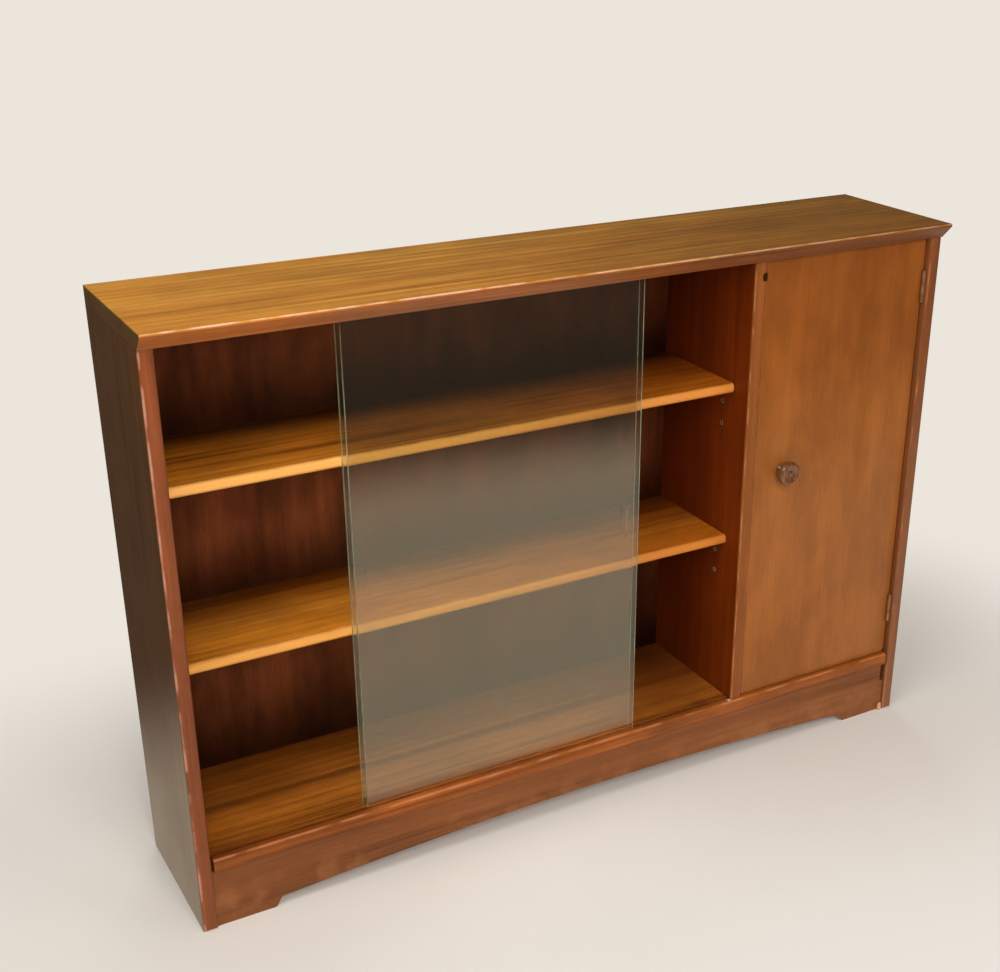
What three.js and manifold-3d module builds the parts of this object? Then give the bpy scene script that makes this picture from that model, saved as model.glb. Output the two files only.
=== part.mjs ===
// Low bookcase: an open bay behind two sliding glass doors, and a cupboard with a hinged door.
// Millimetres, +Z up, +X to the right of someone who faces it, the front towards -Y.
// The origin is on the floor, under the middle of the case.

import * as THREE from 'three';
import { mergeVertices } from 'three/addons/utils/BufferGeometryUtils.js';
import Module from 'manifold-3d';

const wasm = await Module();
wasm.setup();

// Case
const caseWidth = 1220;
const caseHeight = 845;
const caseDepth = 250;
const sideThickness = 20;
const sideEdgeRadius = 5;
const sideFootChamfer = 3;
const glueLine = 0.2;

// Top board: its front edge is upright for a few millimetres, then undercut back to the sides
const topThickness = 23;
const topOverhang = 18;
const topNosing = 4;
const topArrisRadius = 1.5;

// Bottom board
const bottomThickness = 20;
const bottomUndersideHeight = 90;
const bottomSetback = 1;
const bottomArrisRadius = 4;
const housingDepth = 6;
const housingShoulder = 12;
const lipEndGap = 3;

// Partition between the glazed bay and the cupboard
const partitionThickness = 20;
const partitionSetback = 6;
const partitionEdgeRadius = 4;
const cupboardWidth = 304;
const tongueLength = 5;

// Front plinth, arched between two feet
const plinthThickness = 18;
const plinthSetback = 6;
const plinthFootWidth = 82;
const plinthStepWidth = 15;
const plinthStepHeight = 15;
const plinthArchRise = 18;
const plinthNotchWidth = 7;
const plinthNotchHeight = 34;

// Rear rail and the glue blocks behind the plinth
const railThickness = 18;
const railHeight = 60;
const glueBlockLeg = 26;
const glueBlockLength = 90;
const cornerBlockHeight = 66;
const glueBlockShares = [0.22, 0.5, 0.78];

// Plywood back in its rebate
const backThickness = 4;
const backRecess = 0.8;
const rebateDepth = 5;
const rebateWidth = 9;
const topRebateHeight = 7;

// Dowels between the sides and the top
const dowelRadius = 4;
const dowelLength = 32;
const dowelClearance = 0.2;
const dowelShares = [0.24, 0.8];

// Grooves for the sliding glass
const glassThickness = 4;
const grooveWidth = 5;
const groovePitch = 10;
const frontGrooveInset = 15;
const bottomGrooveDepth = 4;
const topGrooveDepth = 9;

// Sliding glass: where each pane's left edge lies, from the left side's inner face
const paneOverlap = 30;
const paneLift = 0.3;
const paneTopEngagement = 4;
const paneArris = 0.5;
const frontPaneOffset = 231;
const rearPaneOffset = 228;
const pullInset = 25;
const pullLength = 62;
const pullWidth = 11;
const pullDepth = 1.2;

// Shelves
const shelfThickness = 15;
const shelfSetback = 42;
const shelfEndGap = 1;
const shelfBackGap = 2;
const shelfNosingRadius = 5.5;
const upperShelfRise = 507;
const lowerShelfRise = 261;
const cupboardShelfRise = 350;

// Studs under the shelves, and the empty holes below them
const studPinRadius = 2.5;
const studPinLength = 8;
const studRadius = 4.5;
const studLength = 10;
const studArris = 1;
const studFlat = 1;
const studInset = 28;
const holeClearance = 0.25;
const holeEndClearance = 1;
const emptyHoleDrop = 20;
const holePitch = 35;

// Cupboard door
const doorThickness = 17;
const doorSetback = 10;
const doorLatchGap = 1.5;
const doorHingeGap = 2;
const doorTopGap = 2;
const doorBottomGap = 1.2;
const doorEdgeRadius = 1.2;
const doorOutlineRadius = 1;
const doorWornRadius = 8;
const stopLength = 26;
const stopSection = 12;
const stopGap = 0.4;

// Turned knob and its screw
const knobInset = 53;
const knobRise = 380;
const knobHeadRadius = 19;
const knobLength = 23;
const knobDish = 3.2;
const knobScrewRadius = 1.8;
const knobScrewClearance = 0.3;
const knobScrewReach = 11;
const knobScrewHeadRadius = 4.2;
const knobScrewHeadHeight = 2.2;

// The knob's curves, foot to waist, waist to head, head to rim and rim to dish: each has two
// control points and an end point, as shares of the head's radius and of the knob's length
const knobCurveShares = [
  [[0.61, 0.12], [0.45, 0.14], [0.45, 0.3]],
  [[0.45, 0.46], [1, 0.44], [1, 0.68]],
  [[1, 0.9], [0.9, 1], [0.76, 1]],
];
const knobDishShares = [0.62, 0.56, 0.24, 0.12];
const knobFootShare = 0.61;
const knobButtonShare = 0.67;

// Butt hinges
const hingeLength = 50;
const hingeKnuckles = 5;
const hingeBarrelRadius = 3;
const hingePinRadius = 1.25;
const hingePinClearance = 0.2;
const hingePinTip = 0.8;
const hingeLeafThickness = 1.2;
const hingeLeafReach = 14;
const hingeGap = 0.3;
const hingeSeat = 0.1;
const upperHingeInset = 48;
const lowerHingeInset = 60;

// Ball catch near the door's top corner
const catchInset = 22;
const catchRadius = 4;
const catchLength = 15;
const catchBoreDepth = 9;
const catchBallRadius = 3;
const catchBallClearance = 0.25;
const catchBallReach = 1.1;
const catchMouthRadius = 2.7;
const catchMouthThickness = 0.4;
const catchSeat = 0.15;
const strikeThickness = 1;
const strikeHeight = 12;
const strikeLength = 20;
const strikeLip = 7;
const strikeDimpleRadius = 2;

// Cuts run past the faces that they open by this much
const overrun = 1;

// How finely curves are drawn
const mergeTolerance = 1e-4;
const roundSteps = 6;
const easedSteps = 3;
const circleSteps = 24;
const smallCircleSteps = 16;
const knobSteps = 40;
const quarterTurn = Math.PI / 2;

// Planes of the case that other pieces take their places from
const leftInner = -caseWidth / 2 + sideThickness;
const rightInner = caseWidth / 2 - sideThickness;
const backPlane = caseDepth / 2;
const topFront = -caseDepth / 2;
const sideFront = topFront + topOverhang;
const innerBack = backPlane - rebateDepth;
const ceiling = caseHeight - topThickness;
const floorLevel = bottomUndersideHeight + bottomThickness;
const partitionRight = rightInner - cupboardWidth;
const partitionLeft = partitionRight - partitionThickness;
const partitionFront = sideFront + partitionSetback;
const bottomFront = sideFront + bottomSetback;
const bayWidth = partitionLeft - leftInner;
const frontGrooveY = sideFront + frontGrooveInset;
const rearGrooveY = frontGrooveY + groovePitch;
const shelfFront = sideFront + shelfSetback;
const shelfBack = innerBack - shelfBackGap;
const doorFront = sideFront + doorSetback;
const doorBack = doorFront + doorThickness;
const doorLeft = partitionRight + doorLatchGap;
const doorRight = rightInner - doorHingeGap;
const doorBottom = floorLevel + doorBottomGap;
const doorTop = ceiling - doorTopGap;
const plinthFront = sideFront + plinthSetback;
const plinthBack = plinthFront + plinthThickness;

// Solids: a closed mesh becomes a manifold to be joined and cut, and comes back as a geometry
function closed(geometry) {
  const bare = new THREE.BufferGeometry();
  bare.setAttribute('position', geometry.getAttribute('position'));
  bare.setIndex(geometry.getIndex());
  const merged = mergeVertices(bare, mergeTolerance);
  const corners = merged.getIndex().array;
  const kept = [];
  for (let i = 0; i < corners.length; i += 3) {
    const [a, b, c] = corners.slice(i, i + 3);
    if (a !== b && b !== c && c !== a) kept.push(a, b, c);
  }
  merged.setIndex(kept);
  return merged;
}

function solid(geometry) {
  const mesh = closed(geometry);
  return new wasm.Manifold(new wasm.Mesh({
    numProp: 3,
    vertProperties: new Float32Array(mesh.getAttribute('position').array),
    triVerts: new Uint32Array(mesh.getIndex().array),
  }));
}

function surface(manifold) {
  const mesh = manifold.getMesh();
  const geometry = new THREE.BufferGeometry();
  geometry.setAttribute('position', new THREE.BufferAttribute(mesh.vertProperties, 3));
  geometry.setIndex(new THREE.BufferAttribute(mesh.triVerts, 1));
  geometry.computeVertexNormals();
  return geometry;
}

function cut(base, tools) {
  return tools.reduce((left, tool) => left.subtract(solid(tool)), solid(base));
}

function fuse(pieces) {
  return pieces.slice(1).reduce((left, piece) => left.add(solid(piece)), solid(pieces[0]));
}

// Shapes: blocks between planes, outlines run along an axis, and round bars along an axis
function block([x0, x1], [y0, y1], [z0, z1]) {
  const geometry = new THREE.BoxGeometry(x1 - x0, y1 - y0, z1 - z0);
  return geometry.translate((x0 + x1) / 2, (y0 + y1) / 2, (z0 + z1) / 2);
}

function extrude(outline, length, steps = roundSteps) {
  return new THREE.ExtrudeGeometry(outline, { depth: length, bevelEnabled: false, curveSegments: steps });
}

// An outline drawn in (y, z), run along X
function alongX(outline, [x0, x1], steps) {
  const turn = new THREE.Matrix4().makeBasis(
    new THREE.Vector3(0, 1, 0), new THREE.Vector3(0, 0, 1), new THREE.Vector3(1, 0, 0));
  return extrude(outline, x1 - x0, steps).applyMatrix4(turn).translate(x0, 0, 0);
}

// An outline drawn in (x, z), run along Y
function alongY(outline, [y0, y1], steps) {
  const turn = new THREE.Matrix4().makeBasis(
    new THREE.Vector3(1, 0, 0), new THREE.Vector3(0, 0, 1), new THREE.Vector3(0, -1, 0));
  return extrude(outline, y1 - y0, steps).applyMatrix4(turn).translate(0, y1, 0);
}

// An outline drawn in (x, y), run along Z
function alongZ(outline, [z0, z1], steps) {
  return extrude(outline, z1 - z0, steps).translate(0, 0, z0);
}

// Round bars: the first of the two ends is the one with the smaller coordinate
function barX(radius, [x0, x1], y, z, steps = smallCircleSteps) {
  const bar = new THREE.CylinderGeometry(radius, radius, x1 - x0, steps).rotateZ(quarterTurn);
  return bar.translate((x0 + x1) / 2, y, z);
}

function barY(radius, x, [y0, y1], z, steps = smallCircleSteps) {
  return new THREE.CylinderGeometry(radius, radius, y1 - y0, steps).translate(x, (y0 + y1) / 2, z);
}

function barZ(radius, x, y, [z0, z1], steps = smallCircleSteps) {
  const bar = new THREE.CylinderGeometry(radius, radius, z1 - z0, steps).rotateX(quarterTurn);
  return bar.translate(x, y, (z0 + z1) / 2);
}

// A rectangle whose corners can each be rounded, from the lower left one anticlockwise
function roundedRectangle([u0, u1], [v0, v1], [lowerLeft, lowerRight, upperRight, upperLeft]) {
  const outline = new THREE.Shape();
  const corner = (u, v, radius, start) => {
    if (radius > 0) outline.absarc(u, v, radius, start, start + quarterTurn, false);
    else outline.lineTo(u, v);
  };
  outline.moveTo(u0 + lowerLeft, v0);
  corner(u1 - lowerRight, v0 + lowerRight, lowerRight, -quarterTurn);
  corner(u1 - upperRight, v1 - upperRight, upperRight, 0);
  corner(u0 + upperLeft, v1 - upperLeft, upperLeft, quarterTurn);
  corner(u0 + lowerLeft, v0 + lowerLeft, lowerLeft, quarterTurn * 2);
  return outline;
}

// A right-angled triangle from its square corner
function triangle(cornerU, cornerV, legU, legV) {
  const outline = new THREE.Shape();
  outline.moveTo(cornerU, cornerV);
  outline.lineTo(cornerU + legU, cornerV);
  outline.lineTo(cornerU, cornerV + legV);
  return outline;
}

// Finishes
function finish(color, roughness, metalness = 0) {
  return new THREE.MeshStandardMaterial({ color, roughness, metalness, flatShading: true });
}

const topWood = finish(0xb07837, 0.32);
const caseWood = finish(0x9a5a30, 0.38);
const shelfWood = finish(0xa5641e, 0.36);
const doorWood = finish(0x965523, 0.4);
const backPly = finish(0x5a2f1a, 0.6);
const hiddenWood = finish(0xb08a5c, 0.8);
const knobWood = finish(0x6b4228, 0.3);
const brass = finish(0x8a7443, 0.42, 1);
const steel = finish(0x8c8a86, 0.4, 1);
const glass = new THREE.MeshStandardMaterial({
  color: 0xdfe9e2, roughness: 0.04, metalness: 0, transparent: true, opacity: 0.35,
});

const bookcase = new THREE.Group();
bookcase.name = 'bookcase';

function place(name, shape, material, parent = bookcase) {
  const geometry = shape instanceof THREE.BufferGeometry ? shape : surface(shape);
  const mesh = new THREE.Mesh(geometry, material);
  mesh.name = name;
  parent.add(mesh);
  return mesh;
}

// Holes for a shelf's studs: the one in use and two empty ones below it.
// inward is +1 where the wall's face looks along +X, and -1 where it looks along -X.
const studRows = [shelfFront + studInset, shelfBack - studInset];

function between(from, to) {
  return [Math.min(from, to), Math.max(from, to)];
}

function studHeight(shelfRise) {
  return floorLevel + shelfRise - glueLine - studRadius + studFlat;
}

function studHoles(face, inward, shelfRise) {
  const bottom = floorLevel + shelfRise;
  const span = between(face + inward * overrun, face - inward * (studPinLength + holeEndClearance));
  const heights = [studHeight(shelfRise), bottom - emptyHoleDrop, bottom - emptyHoleDrop - holePitch];
  return studRows.flatMap((y) => heights.map((z) => barX(studPinRadius + holeClearance, span, y, z)));
}

// Dowels stand half in a side and half in the top
function dowelPlaces(direction) {
  const x = direction * (caseWidth / 2 - sideThickness / 2);
  return dowelShares.map((share) => [x, sideFront + share * (backPlane - sideFront)]);
}

function dowelHoles(direction) {
  const reach = dowelLength / 2 + dowelClearance;
  return dowelPlaces(direction).map(([x, y]) =>
    barZ(dowelRadius + dowelClearance, x, y, [ceiling - reach, ceiling + reach]));
}

// Top board: one profile run from end to end, a stopped rebate for the back and two glass grooves
function topBoard() {
  const profile = new THREE.Shape();
  profile.moveTo(sideFront, ceiling);
  profile.lineTo(backPlane, ceiling);
  profile.lineTo(backPlane, caseHeight);
  profile.absarc(topFront + topArrisRadius, caseHeight - topArrisRadius, topArrisRadius,
    quarterTurn, quarterTurn * 2, false);
  profile.lineTo(topFront, caseHeight - topNosing);
  const board = alongX(profile, [-caseWidth / 2, caseWidth / 2]);
  const grooves = [frontGrooveY, rearGrooveY].map((y) => block(
    [leftInner, partitionLeft],
    [y - grooveWidth / 2, y + grooveWidth / 2],
    [ceiling - overrun, ceiling + topGrooveDepth]));
  const rebate = block(
    [leftInner - rebateWidth, rightInner + rebateWidth],
    [innerBack, backPlane + overrun],
    [ceiling - overrun, ceiling + topRebateHeight]);
  const housing = block(
    [partitionLeft - glueLine, partitionRight + glueLine],
    [partitionFront + housingShoulder - glueLine, innerBack + glueLine],
    [ceiling - overrun, ceiling + tongueLength + glueLine]);
  return cut(board, [...grooves, rebate, housing, ...dowelHoles(-1), ...dowelHoles(1)]);
}

// Sides: rounded front arrises, a rebate for the back, a stopped housing for the bottom board
// and a chamfer at the front of the foot
function sideOutline(direction) {
  const outer = direction * caseWidth / 2;
  const inner = outer - direction * sideThickness;
  const stepped = inner + direction * rebateWidth;
  const left = Math.min(outer, inner) + sideEdgeRadius;
  const right = Math.max(outer, inner) - sideEdgeRadius;
  const outline = new THREE.Shape();
  outline.absarc(left, sideFront + sideEdgeRadius, sideEdgeRadius, -quarterTurn * 2, -quarterTurn, false);
  outline.absarc(right, sideFront + sideEdgeRadius, sideEdgeRadius, -quarterTurn, 0, false);
  if (direction < 0) {
    outline.lineTo(inner, innerBack);
    outline.lineTo(stepped, innerBack);
    outline.lineTo(stepped, backPlane);
    outline.lineTo(outer, backPlane);
  } else {
    outline.lineTo(outer, backPlane);
    outline.lineTo(stepped, backPlane);
    outline.lineTo(stepped, innerBack);
    outline.lineTo(inner, innerBack);
  }
  return outline;
}

function sideBoard(direction, shelfRises) {
  const inner = direction * (caseWidth / 2 - sideThickness);
  const board = alongZ(sideOutline(direction), [0, ceiling - glueLine]);
  const housing = block(
    between(inner - direction * overrun, inner + direction * (housingDepth + glueLine)),
    [bottomFront + housingShoulder - glueLine, innerBack + glueLine],
    [bottomUndersideHeight - glueLine, floorLevel + glueLine]);
  const chamfer = alongX(
    triangle(sideFront - overrun, -overrun, sideFootChamfer + 2 * overrun, sideFootChamfer + 2 * overrun),
    between(inner - direction * overrun, inner + direction * (sideThickness + overrun)));
  const holes = shelfRises.flatMap((rise) => studHoles(inner, -direction, rise));
  return cut(board, [housing, chamfer, ...holes, ...dowelHoles(direction)]);
}

// Bottom board: rounded front arris, a lip that stops short of the sides, two glass grooves and
// a housing for the partition
function bottomBoard() {
  const profile = roundedRectangle([bottomFront, innerBack], [bottomUndersideHeight, floorLevel],
    [topArrisRadius, 0, 0, bottomArrisRadius]);
  const board = alongX(profile, [leftInner - housingDepth, rightInner + housingDepth]);
  const notches = [[leftInner - housingDepth - overrun, leftInner + lipEndGap],
    [rightInner - lipEndGap, rightInner + housingDepth + overrun]].map((span) => block(
    span,
    [bottomFront - overrun, bottomFront + housingShoulder],
    [bottomUndersideHeight - overrun, floorLevel + overrun]));
  const grooves = [frontGrooveY, rearGrooveY].map((y) => block(
    [leftInner + glueLine, partitionLeft],
    [y - grooveWidth / 2, y + grooveWidth / 2],
    [floorLevel - bottomGrooveDepth, floorLevel + overrun]));
  const housing = block(
    [partitionLeft - glueLine, partitionRight + glueLine],
    [partitionFront + housingShoulder - glueLine, innerBack + overrun],
    [floorLevel - tongueLength - glueLine, floorLevel + overrun]);
  return cut(board, [...notches, ...grooves, housing]);
}

// Partition: rounded front arrises, tongues above and below, pin holes on both faces
function partitionBoard() {
  const outline = roundedRectangle([partitionLeft, partitionRight], [partitionFront, innerBack - glueLine],
    [partitionEdgeRadius, partitionEdgeRadius, 0, 0]);
  const board = alongZ(outline, [floorLevel + glueLine, ceiling - glueLine]);
  const tongue = block(
    [partitionLeft, partitionRight],
    [partitionFront + housingShoulder, innerBack - glueLine],
    [floorLevel - tongueLength, ceiling + tongueLength]);
  const strikeRecess = block(
    [partitionRight - strikeThickness - catchSeat, partitionRight + overrun],
    [partitionFront - overrun, strikeBack + catchSeat],
    [catchHeight - strikeHeight / 2 - catchSeat, catchHeight + strikeHeight / 2 + catchSeat]);
  const dimple = barX(strikeDimpleRadius + catchSeat,
    [partitionRight - strikeDimpleRadius - strikeThickness, partitionRight], catchY, catchHeight);
  const tools = [
    ...studHoles(partitionLeft, -1, upperShelfRise),
    ...studHoles(partitionLeft, -1, lowerShelfRise),
    ...studHoles(partitionRight, 1, cupboardShelfRise),
    strikeRecess, dimple];
  return tools.reduce((left, tool) => left.subtract(solid(tool)), fuse([board, tongue]));
}

// Plinth: two feet, an S-shaped step at each, a shallow arch between them and a notch in its
// right end, under the bottom board
function plinthOutline() {
  const left = leftInner + glueLine;
  const right = rightInner - glueLine;
  const top = bottomUndersideHeight - glueLine;
  const footLeft = left + plinthFootWidth;
  const footRight = right - plinthFootWidth;
  const archLeft = footLeft + plinthStepWidth;
  const archRight = footRight - plinthStepWidth;
  const halfSpan = (archRight - archLeft) / 2;
  const radius = (halfSpan ** 2 + plinthArchRise ** 2) / (2 * plinthArchRise);
  const centreZ = plinthStepHeight + plinthArchRise - radius;
  const halfAngle = Math.asin(halfSpan / radius);
  const middle = (archLeft + archRight) / 2;
  const outline = new THREE.Shape();
  outline.moveTo(left, 0);
  outline.lineTo(footLeft, 0);
  outline.bezierCurveTo(footLeft + plinthStepWidth / 2, 0,
    archLeft - plinthStepWidth / 2, plinthStepHeight, archLeft, plinthStepHeight);
  outline.absarc(middle, centreZ, radius, quarterTurn + halfAngle, quarterTurn - halfAngle, true);
  outline.bezierCurveTo(archRight + plinthStepWidth / 2, plinthStepHeight,
    footRight - plinthStepWidth / 2, 0, footRight, 0);
  outline.lineTo(right, 0);
  outline.lineTo(right, top - plinthNotchHeight);
  outline.lineTo(right - plinthNotchWidth, top - plinthNotchHeight);
  outline.lineTo(right - plinthNotchWidth, top);
  outline.lineTo(left, top);
  return outline;
}

// Triangular blocks glued into the corners behind the plinth
function glueBlocks() {
  const first = leftInner;
  const width = rightInner - leftInner;
  glueBlockShares.forEach((share, index) => {
    const middle = first + share * width;
    const profile = triangle(plinthBack + glueLine, bottomUndersideHeight - glueLine,
      glueBlockLeg, -glueBlockLeg);
    place(`plinth_glue_block_${index + 1}`,
      alongX(profile, [middle - glueBlockLength / 2, middle + glueBlockLength / 2]), hiddenWood);
  });
  const height = [bottomUndersideHeight - glueLine - cornerBlockHeight, bottomUndersideHeight - glueLine];
  const corner = plinthBack + glueLine;
  place('plinth_corner_block_left',
    alongZ(triangle(leftInner + glueLine, corner, glueBlockLeg, glueBlockLeg), height), hiddenWood);
  place('plinth_corner_block_right',
    alongZ(triangle(rightInner - glueLine, corner, -glueBlockLeg, glueBlockLeg), height), hiddenWood);
}

// Sliding glass: ground arrises and a boat-shaped finger pull cut into the front face
const paneWidth = (bayWidth + paneOverlap) / 2;
const paneBottom = floorLevel - bottomGrooveDepth + paneLift;
const paneTop = ceiling + paneTopEngagement;

function pane(offset, y, pullFromLeft) {
  const left = leftInner + offset;
  const outline = roundedRectangle(
    [left + paneArris, left + paneWidth - paneArris],
    [paneBottom + paneArris, paneTop - paneArris], [0, 0, 0, 0]);
  const sheet = new THREE.ExtrudeGeometry(outline, {
    depth: glassThickness - 2 * paneArris,
    bevelEnabled: true,
    bevelSize: paneArris,
    bevelThickness: paneArris,
    bevelSegments: 1,
  });
  sheet.rotateX(quarterTurn).translate(0, y + glassThickness / 2 - paneArris, 0);
  const pull = new THREE.SphereGeometry(pullWidth / 2, circleSteps, smallCircleSteps);
  pull.scale(1, pullDepth / (pullWidth / 2), pullLength / pullWidth);
  const pullX = pullFromLeft ? left + pullInset : left + paneWidth - pullInset;
  pull.translate(pullX, y - glassThickness / 2, (floorLevel + ceiling) / 2);
  return cut(sheet, [pull]);
}

// Shelves: a nosed front edge run from end to end
function shelfBoard([left, right], shelfRise) {
  const bottom = floorLevel + shelfRise;
  const profile = roundedRectangle([shelfFront, shelfBack], [bottom, bottom + shelfThickness],
    [shelfNosingRadius, 0, 0, shelfNosingRadius]);
  return alongX(profile, [left + shelfEndGap, right - shelfEndGap]);
}

// Stud: a pin in the wall and a stouter head, flattened on top where the shelf rests
function shelfStud(face, inward, y, shelfRise) {
  const z = studHeight(shelfRise);
  const profile = [
    [0, -studPinLength], [studPinRadius, -studPinLength], [studPinRadius, glueLine],
    [studRadius, glueLine], [studRadius, studLength - studArris],
    [studRadius - studArris, studLength], [0, studLength],
  ].map(([r, h]) => new THREE.Vector2(r, h));
  const turned = new THREE.LatheGeometry(profile, smallCircleSteps).rotateZ(-inward * quarterTurn);
  const flat = block(
    between(face, face + inward * (studLength + overrun)),
    [y - studRadius - overrun, y + studRadius + overrun],
    [z + studRadius - studFlat, z + studRadius + overrun]);
  return cut(turned.translate(face, y, z), [flat]);
}

function shelfOnStuds(name, [left, right], shelfRise) {
  place(name, shelfBoard([left, right], shelfRise), shelfWood);
  const rows = [['front', studRows[0]], ['rear', studRows[1]]];
  for (const [row, y] of rows) {
    place(`${name}_stud_${row}_left`, shelfStud(left, 1, y, shelfRise), brass);
    place(`${name}_stud_${row}_right`, shelfStud(right, -1, y, shelfRise), brass);
  }
}

// Ball catch: places shared by the case in the door, the ball and the strike on the partition
const catchY = doorFront + doorThickness / 2;
const catchHeight = doorTop - catchInset;
const strikeBack = partitionFront + strikeLength;

// The case's mouth is turned in, so that the ball can't leave it
function catchCase() {
  const bore = catchBallRadius + catchBallClearance;
  const profile = [
    [0, 0], [catchRadius, 0], [catchRadius, catchLength], [catchMouthRadius, catchLength],
    [catchMouthRadius, catchLength - catchMouthThickness], [bore, catchLength - catchMouthThickness],
    [bore, catchLength - catchBoreDepth], [0, catchLength - catchBoreDepth],
  ].map(([r, h]) => new THREE.Vector2(r, h));
  const turned = new THREE.LatheGeometry(profile, circleSteps).rotateZ(quarterTurn);
  return closed(turned.translate(doorLeft + catchLength, catchY, catchHeight));
}

function catchBall() {
  const ball = new THREE.SphereGeometry(catchBallRadius, circleSteps, smallCircleSteps);
  return ball.translate(doorLeft - catchBallReach + catchBallRadius, catchY, catchHeight);
}

function catchStrike() {
  const face = partitionRight - catchSeat / 2;
  const height = [catchHeight - strikeHeight / 2, catchHeight + strikeHeight / 2];
  const lipFront = partitionFront - catchSeat - strikeThickness;
  const plate = block([face - strikeThickness, face], [lipFront, strikeBack], height);
  const lip = alongY(
    roundedRectangle([face - strikeLip, face], height, [strikeLip / 2, 0, 0, strikeLip / 2]),
    [lipFront, partitionFront - catchSeat]);
  const dimple = barX(strikeDimpleRadius, [face - strikeThickness - overrun, face + overrun],
    catchY, catchHeight);
  return fuse([plate, lip]).subtract(solid(dimple));
}

// Hinges: the barrel's axis stands just off the side's face and just in front of the door's
const hingeAxisX = rightInner - hingeBarrelRadius - hingeGap;
const hingeAxisY = doorFront - hingeBarrelRadius - hingeGap;
const frameLeafX = [rightInner - hingeSeat - hingeLeafThickness, rightInner - hingeSeat];
const doorLeafX = [
  doorRight + hingeGap - hingeLeafThickness,
  doorRight + hingeGap,
];
const leafBack = doorFront + hingeLeafReach;

function knuckleSpans(bottom, parity) {
  const pitch = hingeLength / hingeKnuckles;
  const spans = [];
  for (let i = 0; i < hingeKnuckles; i += 1) {
    if (i % 2 === parity) {
      spans.push([bottom + i * pitch + hingeGap / 2, bottom + (i + 1) * pitch - hingeGap / 2]);
    }
  }
  return spans;
}

// A leaf keeps clear of the other leaf's knuckles, and its own are bored for the pin
function hingeLeaf(bottom, [x0, x1], parity) {
  const clearOfBarrel = hingeAxisY + hingeBarrelRadius + hingeGap;
  const height = [bottom, bottom + hingeLength];
  const plate = block([x0, x1], [clearOfBarrel, leafBack], height);
  const pieces = [plate];
  for (const span of knuckleSpans(bottom, parity)) {
    pieces.push(barZ(hingeBarrelRadius, hingeAxisX, hingeAxisY, span, circleSteps));
    pieces.push(block([x0, x1], [hingeAxisY, clearOfBarrel + hingeGap], span));
  }
  const bore = barZ(hingePinRadius + hingePinClearance, hingeAxisX, hingeAxisY,
    [bottom - overrun, bottom + hingeLength + overrun]);
  return fuse(pieces).subtract(solid(bore));
}

function hingePin(bottom) {
  const radius = hingePinRadius;
  const head = hingeBarrelRadius - hingeGap;
  const top = bottom + hingeLength + hingeGap;
  const profile = [
    [0, bottom - hingePinTip], [radius, bottom], [radius, top],
    [head, top], [head, top + hingePinTip / 2], [radius, top + hingePinTip], [0, top + hingePinTip],
  ].map(([r, h]) => new THREE.Vector2(r, h));
  const turned = new THREE.LatheGeometry(profile, smallCircleSteps).rotateX(quarterTurn);
  return closed(turned.translate(hingeAxisX, hingeAxisY, 0));
}

const hingeBottoms = {
  upper: doorTop - upperHingeInset - hingeLength,
  lower: doorBottom + lowerHingeInset,
};

function hinges() {
  for (const [level, bottom] of Object.entries(hingeBottoms)) {
    place(`${level}_hinge_frame_leaf`, hingeLeaf(bottom, frameLeafX, 0), brass);
    place(`${level}_hinge_door_leaf`, hingeLeaf(bottom, doorLeafX, 1), brass);
    place(`${level}_hinge_pin`, hingePin(bottom), brass);
  }
}

// Cupboard door: a flush panel with eased edges, let in for the hinges and bored for the fittings
const knobX = doorLeft + knobInset;
const knobZ = doorBottom + knobRise;

function doorPanel() {
  const eased = doorEdgeRadius;
  const outline = roundedRectangle(
    [doorLeft + eased, doorRight - eased], [doorBottom + eased, doorTop - eased],
    [doorOutlineRadius, doorWornRadius, doorOutlineRadius, doorOutlineRadius]);
  const panel = new THREE.ExtrudeGeometry(outline, {
    depth: doorThickness - 2 * eased,
    bevelEnabled: true,
    bevelSize: eased,
    bevelThickness: eased,
    bevelSegments: easedSteps,
    curveSegments: easedSteps,
  });
  panel.rotateX(quarterTurn).translate(0, doorBack - eased, 0);
  const lettings = Object.values(hingeBottoms).map((bottom) => block(
    [doorLeafX[0] - hingeSeat, doorRight + overrun],
    [doorFront - overrun, leafBack + hingeSeat],
    [bottom - hingeSeat, bottom + hingeLength + hingeSeat]));
  const catchHole = barX(catchRadius + catchSeat,
    [doorLeft - overrun, doorLeft + catchLength + catchSeat], catchY, catchHeight, circleSteps);
  const screwHole = barY(knobScrewRadius + knobScrewClearance, knobX,
    [doorFront - overrun, doorBack + overrun], knobZ);
  return cut(panel, [...lettings, catchHole, screwHole]);
}

// Knob: turned with a flared foot, a waist, a full head and a dished face with a button
function doorKnob() {
  const bore = knobScrewRadius + knobScrewClearance / 2;
  const dish = knobLength - knobDish;
  const button = dish + knobButtonShare * knobDish;
  const [rim, slope, hollow, crown] = knobDishShares.map((share) => share * knobHeadRadius);
  const outline = new THREE.Path();
  outline.moveTo(0, knobScrewReach);
  outline.lineTo(bore, knobScrewReach);
  outline.lineTo(bore, 0);
  outline.lineTo(knobFootShare * knobHeadRadius, 0);
  for (const curve of knobCurveShares) {
    outline.bezierCurveTo(...curve.flatMap(([r, h]) => [r * knobHeadRadius, h * knobLength]));
  }
  outline.bezierCurveTo(rim, knobLength, slope, dish, hollow, dish);
  outline.bezierCurveTo(hollow, button, crown, button, 0, button);
  const turned = new THREE.LatheGeometry(outline.getPoints(roundSteps), knobSteps);
  return closed(turned.rotateX(quarterTurn * 2).translate(knobX, doorFront - glueLine, knobZ));
}

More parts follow.
